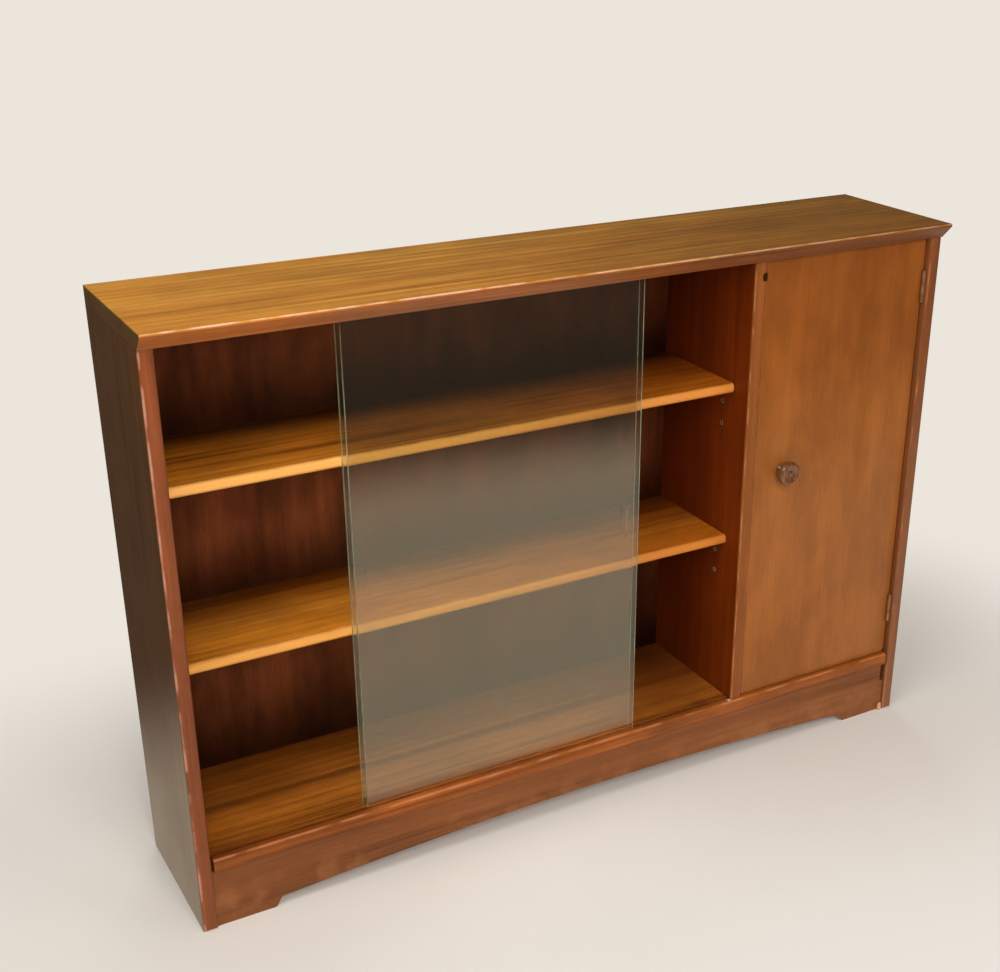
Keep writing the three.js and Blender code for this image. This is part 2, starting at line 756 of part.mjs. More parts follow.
function knobScrew() {
  const tip = doorFront - knobScrewReach + knobScrewClearance;
  const seat = doorBack + glueLine;
  const outline = new THREE.Path();
  outline.moveTo(0, tip);
  outline.lineTo(knobScrewRadius, tip + knobScrewRadius);
  outline.lineTo(knobScrewRadius, seat);
  outline.lineTo(knobScrewHeadRadius, seat);
  outline.bezierCurveTo(knobScrewHeadRadius, seat + knobScrewHeadHeight / 2, knobScrewHeadRadius / 2,
    seat + knobScrewHeadHeight, 0, seat + knobScrewHeadHeight);
  const turned = new THREE.LatheGeometry(outline.getPoints(roundSteps), smallCircleSteps);
  return closed(turned.translate(knobX, 0, knobZ));
}

// Assembly: the case
place('top_board', topBoard(), topWood);
place('left_side', sideBoard(-1, [upperShelfRise, lowerShelfRise]), caseWood);
place('right_side', sideBoard(1, [cupboardShelfRise]), caseWood);
place('bottom_board', bottomBoard(), caseWood);
place('partition', partitionBoard(), caseWood);
place('front_plinth', alongY(plinthOutline(), [plinthFront, plinthBack], circleSteps), caseWood);
place('rear_rail', block(
  [leftInner + glueLine, rightInner - glueLine],
  [innerBack - railThickness, innerBack],
  [bottomUndersideHeight - glueLine - railHeight, bottomUndersideHeight - glueLine]), hiddenWood);
glueBlocks();
place('back_panel', block(
  [leftInner - rebateWidth + glueLine, rightInner + rebateWidth - glueLine],
  [backPlane - backRecess - backThickness, backPlane - backRecess],
  [bottomUndersideHeight, ceiling + topRebateHeight - glueLine]), backPly);

for (const [side, direction] of [['left', -1], ['right', 1]]) {
  dowelPlaces(direction).forEach(([x, y], index) => {
    place(`top_dowel_${side}_${index + 1}`, barZ(dowelRadius, x, y,
      [ceiling - dowelLength / 2, ceiling + dowelLength / 2]), hiddenWood);
  });
}

// Assembly: shelves, glass and cupboard
shelfOnStuds('upper_shelf', [leftInner, partitionLeft], upperShelfRise);
shelfOnStuds('lower_shelf', [leftInner, partitionLeft], lowerShelfRise);
shelfOnStuds('cupboard_shelf', [partitionRight, rightInner], cupboardShelfRise);

place('front_glass', pane(frontPaneOffset, frontGrooveY, false), glass);
place('rear_glass', pane(rearPaneOffset, rearGrooveY, true), glass);

place('cupboard_door', doorPanel(), doorWood);
place('door_knob', doorKnob(), knobWood);
place('knob_screw', knobScrew(), steel);
place('door_stop', block(
  [partitionRight + glueLine, partitionRight + glueLine + stopLength],
  [doorBack + stopGap, doorBack + stopGap + stopSection],
  [ceiling - glueLine - stopSection, ceiling - glueLine]), hiddenWood);
hinges();
place('catch_case', catchCase(), brass);
place('catch_ball', catchBall(), steel);
place('catch_strike', catchStrike(), brass);

export default bookcase;
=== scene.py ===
import logging
import math
from dataclasses import dataclass
from enum import Enum

import bpy
from mathutils import Matrix, Vector
from mathutils.geometry import interpolate_bezier


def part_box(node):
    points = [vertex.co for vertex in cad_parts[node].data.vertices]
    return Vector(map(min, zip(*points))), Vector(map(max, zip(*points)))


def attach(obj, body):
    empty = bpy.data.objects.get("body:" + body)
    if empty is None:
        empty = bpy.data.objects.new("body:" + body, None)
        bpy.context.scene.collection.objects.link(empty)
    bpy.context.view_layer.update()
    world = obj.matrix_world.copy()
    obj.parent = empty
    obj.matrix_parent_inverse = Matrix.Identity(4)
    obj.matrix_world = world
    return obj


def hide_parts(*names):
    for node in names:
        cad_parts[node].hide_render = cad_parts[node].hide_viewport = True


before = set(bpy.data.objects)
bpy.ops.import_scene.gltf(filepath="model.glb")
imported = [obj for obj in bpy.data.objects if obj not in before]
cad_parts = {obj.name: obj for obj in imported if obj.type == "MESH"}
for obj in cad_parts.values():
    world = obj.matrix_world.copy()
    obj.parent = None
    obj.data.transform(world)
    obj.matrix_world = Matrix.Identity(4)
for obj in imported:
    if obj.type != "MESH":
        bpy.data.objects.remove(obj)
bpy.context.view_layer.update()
LOG = logging.getLogger("bookcase")

Colour = tuple[float, float, float]
Point = tuple[float, float, float]
Range = tuple[float, float]
Material = bpy.types.Material
Socket = bpy.types.NodeSocket
Thing = bpy.types.Object
Tree = bpy.types.NodeTree

X, Y, Z = range(3)
ALONG_X, ALONG_Z, ALL_ROUND = (0.0, 1.0, 1.0), (1.0, 1.0, 0.0), (1.0, 1.0, 1.0)
UNBROKEN = -0.3
QUARTER_TURN = math.pi / 2
CURVE_KNEE, CURVE_SLOPE, CURVE_SHIFT, CURVE_POWER = 0.04045, 12.92, 0.055, 2.4
SORTS = {float: "Float", int: "Int", tuple: "Vector"}


def shares(colour: Colour) -> tuple[float, ...]:
    """Turns a colour from 0 to 255 into shares from 0 to 1, with a full alpha."""
    return (*(part / 255 for part in colour), 1.0)


def linear(colour: Colour) -> tuple[float, ...]:
    """Turns a colour from 0 to 255, as it looks on screen, into the linear one of shaders."""
    return tuple(part / CURVE_SLOPE if part <= CURVE_KNEE
                 else ((part + CURVE_SHIFT) / (1 + CURVE_SHIFT)) ** CURVE_POWER
                 for part in shares(colour))


def labelled(values: dict[str, object]) -> dict[str, object]:
    """Turns keywords, which are words joined by underscores, into the labels of sockets."""
    return {name.replace("_", " ").capitalize(): value for name, value in values.items()}


class Graph:
    """A node tree with short calls for the nodes that finishes and pieces are made of."""

    def __init__(self, tree: Tree) -> None:
        """Keeps the tree that the calls add to."""
        self.tree = tree

    def feed(self, sockets: object, values: dict) -> None:
        """Links sockets to others, or gives them plain values.

        Args:
            sockets: A node's inputs.
            values: Values or sockets by the input's name or number.
        """
        for key, value in values.items():
            if isinstance(value, Socket):
                self.tree.links.new(value, sockets[key])
            else:
                sockets[key].default_value = value

    def add(self, kind: str, inputs: dict | None = None, **settings: object) -> bpy.types.Node:
        """Adds a node.

        Args:
            kind: The node's type name.
            inputs: Values or sockets by the input's name or number.
            settings: The node's own settings.

        Returns:
            The new node.
        """
        node = self.tree.nodes.new(kind)
        for name, value in settings.items():
            setattr(node, name, value)
        self.feed(node.inputs, inputs or {})
        return node

    def make(self, kind: str, inputs: dict | None = None, **settings: object) -> Socket:
        """Adds a node and returns its first output."""
        return self.add(kind, inputs, **settings).outputs[0]

    def find(self, kind: str) -> bpy.types.Node:
        """Returns the tree's first node of a type."""
        return next(node for node in self.tree.nodes if node.type == kind)

    def here(self) -> Socket:
        """Returns the object's own coordinates."""
        return self.add("ShaderNodeTexCoord").outputs["Object"]

    def math(self, operation: str, first: object, second: object = 0.0,
             clamp: bool = False) -> Socket:
        """Adds a Math node and returns its output."""
        return self.make("ShaderNodeMath", {0: first, 1: second}, operation=operation,
                         use_clamp=clamp)

    def plus(self, first: object, second: object) -> Socket:
        """Adds two values."""
        return self.math("ADD", first, second)

    def times(self, first: object, second: object) -> Socket:
        """Multiplies two values."""
        return self.math("MULTIPLY", first, second)

    def vector(self, operation: str, first: object, second: object = (0, 0, 0)) -> Socket:
        """Adds a Vector Math node and returns its vector."""
        return self.make("ShaderNodeVectorMath", {0: first, 1: second}, operation=operation)

    def scale(self, vector: object, factor: object) -> Socket:
        """Multiplies a vector or a colour by one value."""
        return self.make("ShaderNodeVectorMath", {0: vector, "Scale": factor}, operation="SCALE")

    def length(self, vector: Socket) -> Socket:
        """Returns a vector's length."""
        return self.add("ShaderNodeVectorMath", {0: vector}, operation="LENGTH").outputs["Value"]

    def combine(self, x: object = 0.0, y: object = 0.0, z: object = 0.0) -> Socket:
        """Makes a vector of three values."""
        return self.make("ShaderNodeCombineXYZ", {X: x, Y: y, Z: z})

    def split(self, vector: Socket) -> list[Socket]:
        """Returns a vector's X, Y and Z."""
        return list(self.add("ShaderNodeSeparateXYZ", {0: vector}).outputs)

    def noise(self, vector: Socket, detail: float, roughness: float = 0.55,
              scale: object = ALL_ROUND) -> Socket:
        """Adds noise, scaled along each axis, and returns its value."""
        if scale is not ALL_ROUND:
            vector = self.vector("MULTIPLY", vector, scale)
        return self.make("ShaderNodeTexNoise", {
            "Vector": vector, "Scale": 1.0, "Detail": detail, "Roughness": roughness})

    def remap(self, value: object, low: object, high: object, start: object = 0.0,
              end: object = 1.0, smooth: bool = True) -> Socket:
        """Moves a value from low..high to start..end, held at the ends."""
        return self.make("ShaderNodeMapRange", {0: value, 1: low, 2: high, 3: start, 4: end},
                         interpolation_type="SMOOTHSTEP" if smooth else "LINEAR")

    def blend(self, factor: object, first: object, second: object, mode: str = "MIX") -> Socket:
        """Lays a second colour over the first, by its share and a way of mixing."""
        return self.add("ShaderNodeMix", {0: factor, 6: first, 7: second}, data_type="RGBA",
                        blend_type=mode).outputs[2]

    def relief(self, arris: float, inputs: dict) -> Socket:
        """Returns a normal with eased arrises and the fine relief of a Bump node's inputs."""
        soft = self.make("ShaderNodeBevel", {"Radius": arris}, samples=4)
        return self.make("ShaderNodeBump", {"Normal": soft, **inputs})

    def ray(self, kind: str) -> Socket:
        """Returns 1 for one kind of ray and 0 for all others."""
        return self.add("ShaderNodeLightPath").outputs[kind]

    def direct(self) -> Socket:
        """Returns 1 for rays from the camera, also through glass, and 0 for all others."""
        return self.math("MAXIMUM", self.ray("Is Camera Ray"), self.ray("Is Transmission Ray"))

    def surface(self, share: Socket, first: Socket, second: Socket) -> None:
        """Ends a material in a mix of two shaders, with the second one's share."""
        mixed = self.make("ShaderNodeMixShader", {0: share, 1: first, 2: second})
        self.feed(self.find("OUTPUT_MATERIAL").inputs, {"Surface": mixed})

    def group(self, tree: Tree, **inputs: object) -> object:
        """Places a shared group and returns its outputs."""
        return self.add("ShaderNodeGroup", labelled(inputs), node_tree=tree).outputs

    def mottled(self, scale: float, sheen: Range, *tones: Colour) -> dict[str, Socket]:
        """Returns a shader's colour and roughness, clouded between two tones and two sheens."""
        cloud = self.group(EFFECTS.mottle, vector=self.here(), scale=scale, low=sheen[0],
                           high=sheen[1])
        return {"Base Color": self.blend(cloud["Cloud"], *map(linear, tones)),
                "Roughness": cloud["Value"]}


def new_group(name: str, kind: str, outputs: tuple[str, ...], **inputs: object) -> tuple:
    """Starts a node group with its own inputs and outputs.

    Args:
        name: The group's name.
        kind: Shader, whose outputs are all values, or Geometry.
        outputs: The outputs' labels.
        inputs: Default values, or the short name of a socket's type for those without one.

    Returns:
        The graph, the inputs by label, and the sockets that take the outputs.
    """
    tree = bpy.data.node_groups.new(name, f"{kind}NodeTree")
    for label, value in labelled(inputs).items():
        sort = SORTS.get(type(value), value)
        socket = tree.interface.new_socket(label, in_out="INPUT", socket_type=f"NodeSocket{sort}")
        if sort != value:
            socket.default_value = value
    sort = "Float" if kind == "Shader" else kind
    for label in outputs:
        tree.interface.new_socket(label, in_out="OUTPUT", socket_type=f"NodeSocket{sort}")
    graph = Graph(tree)
    return graph, graph.add("NodeGroupInput").outputs, graph.add("NodeGroupOutput").inputs


class Effects:
    """The shader groups that more than one finish uses, each built once."""

    seed_shift = (7.31, 3.17, 5.73)
    ring_slope, ring_crest = 0.4, (-0.2, 1.0)
    streak_scale, pore_cut = 2.2, (0.58, 0.7)
    fibre_height, pore_depth, streak_height = 0.5, 0.6, 0.4
    patch_cut, patch_widths = (0.3, 0.7), (0.75, 1.2)
    break_share, break_fade, line_core = 0.9, 0.2, 0.9
    cloud_cut = (0.3, 0.72)
    film_cut, film_share = (0.35, 0.8), 0.6
    speck_cut, speck_share = (0.66, 0.74), 0.8

    def __init__(self) -> None:
        """Builds every group."""
        self.grain = self.build_grain()
        self.line = self.build_line()
        self.mottle = self.build_mottle()
        self.dust = self.build_dust()

    def build_grain(self) -> Tree:
        """Builds wood figure along the vector's X: bands, growth lines, streaks, fibres and pores.

        Returns:
            The group.
        """
        labels = ("Bands", "Rings", "Streaks", "Fibre", "Pores", "Height")
        graph, given, out = new_group(
            "wood grain", "Shader", labels, vector="Vector", ring_spacing=0.012, wobble=1.5,
            streak_width=0.008, seed=0.0)
        place = graph.vector("ADD", given["Vector"], graph.scale(self.seed_shift, given["Seed"]))
        bands = graph.noise(place, 2.0, scale=(0.9, 11.0, 11.0))
        drift = graph.noise(place, 3.0, scale=(1.7, 5.0, 5.0))
        _, across, depth = graph.split(place)
        turn = graph.plus(across, graph.times(depth, self.ring_slope))
        turn = graph.math("DIVIDE", turn, given["Ring spacing"])
        turn = graph.plus(turn, graph.times(drift, given["Wobble"]))
        wave = graph.math("SINE", graph.times(turn, math.tau))
        width = graph.math("DIVIDE", 1.0, given["Streak width"])
        scale = graph.combine(self.streak_scale, width, width)
        streaks = graph.noise(place, 4.0, 0.62, scale)
        fibre = graph.noise(place, 2.0, scale=(14.0, 620.0, 620.0))
        pore = graph.noise(place, 1.0, scale=(55.0, 1000.0, 1000.0))
        rings, pores = graph.remap(wave, *self.ring_crest), graph.remap(pore, *self.pore_cut)
        height = graph.math("SUBTRACT", graph.times(fibre, self.fibre_height),
                            graph.times(pores, self.pore_depth))
        height = graph.plus(height, graph.times(streaks, self.streak_height))
        graph.feed(out, dict(zip(labels, (bands, rings, streaks, fibre, pores, height))))
        return graph.tree

    def build_line(self) -> Tree:
        """Builds a mask that fades away from a straight line, broken up along its length.

        Returns:
            The group.
        """
        graph, given, out = new_group(
            "line mask", "Shader", ("Mask",), vector="Vector", across=ALONG_X, place="Vector",
            width=0.002, breaks=0.4, seed=0.0)
        offset = graph.vector("SUBTRACT", given["Vector"], given["Place"])
        away = graph.length(graph.vector("MULTIPLY", offset, given["Across"]))
        spot = graph.vector("MULTIPLY", given["Vector"], (26.0, 26.0, 26.0))
        spot = graph.vector("ADD", spot, graph.combine(given["Seed"], given["Seed"]))
        patch = graph.noise(spot, 3.0, 0.5)
        reach = graph.remap(patch, *self.patch_cut, *self.patch_widths)
        reach = graph.times(given["Width"], reach)
        near = graph.math("SUBTRACT", 1.0, graph.math("DIVIDE", away, reach), True)
        worn = graph.remap(patch, graph.times(given["Breaks"], self.break_share),
                           graph.plus(given["Breaks"], self.break_fade))
        graph.feed(out, {"Mask": graph.times(graph.remap(near, 0.0, self.line_core), worn)})
        return graph.tree

    def build_mottle(self) -> Tree:
        """Builds soft clouds between two values, for tone or sheen that varies with handling.

        Returns:
            The group.
        """
        graph, given, out = new_group("polish", "Shader", ("Value", "Cloud"), vector="Vector",
                                      scale=9.0, low=0.3, high=0.5)
        noise = graph.noise(graph.scale(given["Vector"], given["Scale"]), 5.0, 0.6)
        cloud = graph.remap(noise, *self.cloud_cut)
        value = graph.remap(cloud, 0.0, 1.0, given["Low"], given["High"], smooth=False)
        graph.feed(out, {"Value": value, "Cloud": cloud})
        return graph.tree

    def build_dust(self) -> Tree:
        """Builds a thin uneven film of dust with specks in it.

        Returns:
            The group.
        """
        graph, given, out = new_group("dust", "Shader", ("Mask",), vector="Vector", amount=0.2)
        film = graph.noise(given["Vector"], 6.0, 0.65, (7.0, 7.0, 7.0))
        film = graph.times(graph.remap(film, *self.film_cut), self.film_share)
        speck = graph.noise(given["Vector"], 1.0, scale=(420.0, 420.0, 420.0))
        speck = graph.times(graph.remap(speck, *self.speck_cut), self.speck_share)
        both = graph.math("ADD", film, speck, True)
        graph.feed(out, {"Mask": graph.times(both, given["Amount"])})
        return graph.tree


EFFECTS = Effects()


class Along(Enum):
    """The axis that the wood's grain follows, as the turn that brings it to X."""

    X = (0.0, 0.0, 0.0)
    Z = (0.0, QUARTER_TURN, 0.0)


@dataclass(frozen=True)
class Line:
    """A dark or pale line, for worn finish, dirt, painted highlights and painted shade, that fades
    with the distance from it, counted across it.
    """

    place: Point
    across: Point
    width: float
    colour: Colour
    strength: float
    breaks: float


@dataclass(frozen=True)
class Zone:
    """A change of tone that sets in between two places along one axis."""

    axis: int
    start: float
    end: float
    tint: Colour


@dataclass(frozen=True)
class Shade:
    """Painted shade on the front of the panel above a board, up to an upright, fading out upwards.
    """

    level: float
    reach: float
    side: float
    face: float
    tint: Colour
    hidden: float = 0.008

    def mask(self, graph: Graph, parts: list[Socket]) -> Socket:
        """Adds the nodes of its mask.

        Args:
            graph: The material's graph.
            parts: X, Y and Z of the object's own coordinates.

        Returns:
            The mask, from 0 to 1.
        """
        mask = graph.remap(parts[Z], self.level + self.reach, self.level)
        for test, axis, limit in (("GREATER_THAN", Z, self.level - self.hidden),
                                  ("LESS_THAN", X, self.side), ("LESS_THAN", Y, self.face)):
            mask = graph.times(mask, graph.math(test, parts[axis], limit))
        return mask


@dataclass(frozen=True)
class Wood:
    """A varnished or bare board's finish; what all the woods share stands first."""

    streak_share, band_share = 0.62, 0.38
    to_middle, to_light = (0.3, 0.5), (0.48, 0.72)
    pore_tone = 0.45
    fibre_cut, fibre_tones = (0.3, 0.7), (0.93, 1.07)
    cloud_stretch, cloud_scale = (0.4, 1.0, 1.0), 16.0
    line_seed = 3.7
    dust_colour, dust_sheen = (178, 168, 150), 0.5
    relief_depth, coat_roughness = 0.0006, 0.12

    name: str
    dark: Colour
    middle: Colour
    light: Colour
    along: Along = Along.X
    rings: float = 0.03
    ring_strength: float = 0.15
    wobble: float = 1.5
    streaks: float = 0.009
    pores: float = 0.25
    sheen: Range = (0.28, 0.4)
    specular: float = 0.2
    coat: float = 0.0
    relief: float = 0.12
    arris: float = 0.0006
    dust: float = 0.0
    blotch: float = 0.1
    seed: float = 0.0
    lines: tuple[Line, ...] = ()
    zones: tuple[Zone, ...] = ()
    shades: tuple[Shade, ...] = ()

    def build(self) -> Material:
        """Builds the material.

        Returns:
            The finished material.
        """
        material, graph, shader = new_material(self.name)
        here = graph.here()
        run = graph.make("ShaderNodeMapping", {"Vector": here, "Rotation": self.along.value})
        grain = graph.group(EFFECTS.grain, vector=run, ring_spacing=self.rings,
                            wobble=self.wobble, streak_width=self.streaks, seed=self.seed)
        colour = self.tones(graph, here, self.figure(graph, run, grain))
        polish = graph.group(EFFECTS.mottle, vector=here, low=self.sheen[0],
                             high=self.sheen[1])["Value"]
        if self.dust:
            film = graph.group(EFFECTS.dust, vector=here, amount=self.dust)["Mask"]
            colour = graph.blend(film, colour, linear(self.dust_colour))
            polish = graph.math("ADD", polish, graph.times(film, self.dust_sheen), True)
        normal = graph.relief(self.arris, {
            "Strength": self.relief, "Distance": self.relief_depth, "Height": grain["Height"]})
        graph.feed(shader.inputs, {
            "Base Color": colour, "Roughness": polish, "Normal": normal,
            "Specular IOR Level": self.specular, "Coat Weight": self.coat,
            "Coat Roughness": self.coat_roughness})
        return material

    def figure(self, graph: Graph, run: Socket, grain: object) -> Socket:
        """Colours the grain, from its broad bands down to its fibres, and clouds it.

        Args:
            graph: The material's graph.
            run: Coordinates whose X runs along the grain.
            grain: The grain group's outputs.

        Returns:
            The wood's colour.
        """
        dark, middle, light = linear(self.dark), linear(self.middle), linear(self.light)
        pored = linear(tuple(part * self.pore_tone for part in self.dark))
        tone = graph.plus(graph.times(grain["Streaks"], self.streak_share),
                          graph.times(grain["Bands"], self.band_share))
        colour = graph.blend(graph.remap(tone, *self.to_middle), dark, middle)
        colour = graph.blend(graph.remap(tone, *self.to_light), colour, light)
        colour = graph.blend(graph.times(grain["Rings"], self.ring_strength), colour, dark)
        colour = graph.blend(graph.times(grain["Pores"], self.pores), colour, pored)
        fine = graph.remap(grain["Fibre"], *self.fibre_cut, *self.fibre_tones)
        spread = graph.vector("MULTIPLY", run, self.cloud_stretch)
        cloud = graph.group(EFFECTS.mottle, vector=spread, scale=self.cloud_scale,
                            low=1.0 - self.blotch, high=1.0 + self.blotch)
        return graph.scale(graph.scale(colour, fine), cloud["Value"])

    def tones(self, graph: Graph, here: Socket, colour: Socket) -> Socket:
        """Lays the lines, then the zones and the shades over the board's colour.

        Args:
            graph: The material's graph.
            here: The object's own coordinates.
            colour: The colour so far.

        Returns:
            The colour with lines, zones and shades.
        """
        for number, line in enumerate(self.lines):
            mask = graph.group(
                EFFECTS.line, vector=here, across=line.across, place=line.place,
                width=line.width, breaks=line.breaks,
                seed=number * self.line_seed + self.seed)["Mask"]
            colour = graph.blend(graph.times(mask, line.strength), colour, linear(line.colour))
        parts = graph.split(here)
        for zone in self.zones:
            inside = graph.remap(parts[zone.axis], zone.start, zone.end)
            colour = graph.blend(inside, colour, shares(zone.tint), "MULTIPLY")
        for shade in self.shades:
            colour = graph.blend(shade.mask(graph, parts), colour, shares(shade.tint), "MULTIPLY")
        return colour


@dataclass(frozen=True)
class Metal:
    """A small fitting's finish: metal with dull and tarnished patches."""

    name: str
    bright: Colour
    tarnished: Colour
    sheen: Range = (0.3, 0.55)
    bare: float = 1.0
    patches: float = 90.0
    arris: float = 0.0003
    scratches: Point = (900.0, 900.0, 90.0)
    scratch_strength: float = 0.15
    scratch_depth: float = 0.0002

    def build(self) -> Material:
        """Builds the material.

        Returns:
            The finished material.
        """
        material, graph, shader = new_material(self.name)
        scratch = graph.noise(graph.here(), 2.0, scale=self.scratches)
        graph.feed(shader.inputs, {
            **graph.mottled(self.patches, self.sheen, self.tarnished, self.bright),
            "Metallic": self.bare, "Normal": graph.relief(self.arris, {
                "Strength": self.scratch_strength, "Distance": self.scratch_depth,
                "Height": scratch})})
        return material


@dataclass(frozen=True)
class Pane:
    """Clear sheet glass."""

    name: str
    clear: Colour = (238, 236, 224)
    bend: float = 1.58
    shadow: tuple[float, ...] = (0.9, 0.92, 0.9, 1.0)

    def build(self) -> Material:
        """Builds the material: lamps shine through it, so that what stands behind it is lit.

        Returns:
            The finished material.
        """
        material, graph, shader = new_material(self.name)
        graph.feed(shader.inputs, {
            "Base Color": linear(self.clear), "Roughness": 0.0, "Transmission Weight": 1.0,
            "IOR": self.bend})
        open_way = graph.make("ShaderNodeBsdfTransparent", {"Color": self.shadow})
        graph.surface(graph.ray("Is Shadow Ray"), shader.outputs[0], open_way)
        return material


@dataclass(frozen=True)
class GroundEdge:
    """The matt, greenish ground edge of sheet glass."""

    name: str
    green: Colour = (120, 134, 108)
    pale: Colour = (162, 170, 144)
    sheen: Range = (0.4, 0.6)
    patches: float = 30.0

    def build(self) -> Material:
        """Builds the material.

        Returns:
            The finished material.
        """
        material, graph, shader = new_material(self.name)
        graph.feed(shader.inputs, graph.mottled(self.patches, self.sheen, self.green, self.pale))
        return material


def new_material(name: str) -> tuple[Material, Graph, bpy.types.Node]:
    """Starts a material.

    Args:
        name: The material's name.

    Returns:
        The material, its graph and its Principled shader.
    """
    material = bpy.data.materials.new(name)
    material.use_nodes = True
    graph = Graph(material.node_tree)
    return material, graph, graph.find("BSDF_PRINCIPLED")


def dress(material: Material, thing: Thing) -> None:
    """Gives a material to an object, in every slot.

    Args:
        material: The finish.
        thing: The object.
    """
    if not thing.data.materials:
        thing.data.materials.append(material)
    for slot in thing.material_slots:
        slot.material = material


def link(name: str, data: bpy.types.ID) -> Thing:
    """Makes an object of its data and links it to the scene.

    Args:
        name: The object's name.
        data: Its mesh, lamp or camera.

    Returns:
        The new object.
    """
    thing = bpy.data.objects.new(name, data)
    bpy.context.scene.collection.objects.link(thing)
    return thing


def mesh_object(name: str, points: list, faces: list, smooth: bool = False) -> Thing:
    """Makes an object at the origin from points in metres.

    Args:
        name: The object's name.
        points: The corners, in the part's frame.
        faces: Each face's corner numbers.
        smooth: Whether the faces are shaded smoothly.

    Returns:
        The new object, linked to the scene.
    """
    mesh = bpy.data.meshes.new(name)
    mesh.from_pydata(points, [], faces)
    mesh.validate()
    if smooth:
        mesh.shade_smooth()
    return link(name, mesh)


def turned(name: str, profile: list[Range], centre: Point, steps: int = 96) -> Thing:
    """Turns a profile round an axis that runs towards -Y.

    Args:
        name: The object's name.
        profile: Radius and height pairs from the foot's middle to the top's, both on the axis.
        centre: Where the axis starts.
        steps: How many facets go round.

    Returns:
        The turned object.
    """
    x, y, z = centre
    points = [(x, y - profile[0][1], z)]
    for radius, height in profile[1:-1]:
        for step in range(steps):
            angle = math.tau * step / steps
            points.append((x + radius * math.cos(angle), y - height, z + radius * math.sin(angle)))
    points.append((x, y - profile[-1][1], z))
    rows, last = len(profile) - 2, len(points) - 1
    faces = []
    for step in range(steps):
        after = (step + 1) % steps
        faces.append((0, 1 + after, 1 + step))
        for row in range(rows - 1):
            low, high = 1 + row * steps, 1 + (row + 1) * steps
            faces.append((low + step, low + after, high + after, high + step))
        top = 1 + (rows - 1) * steps
        faces.append((last, top + step, top + after))
    return mesh_object(name, points, faces, smooth=True)


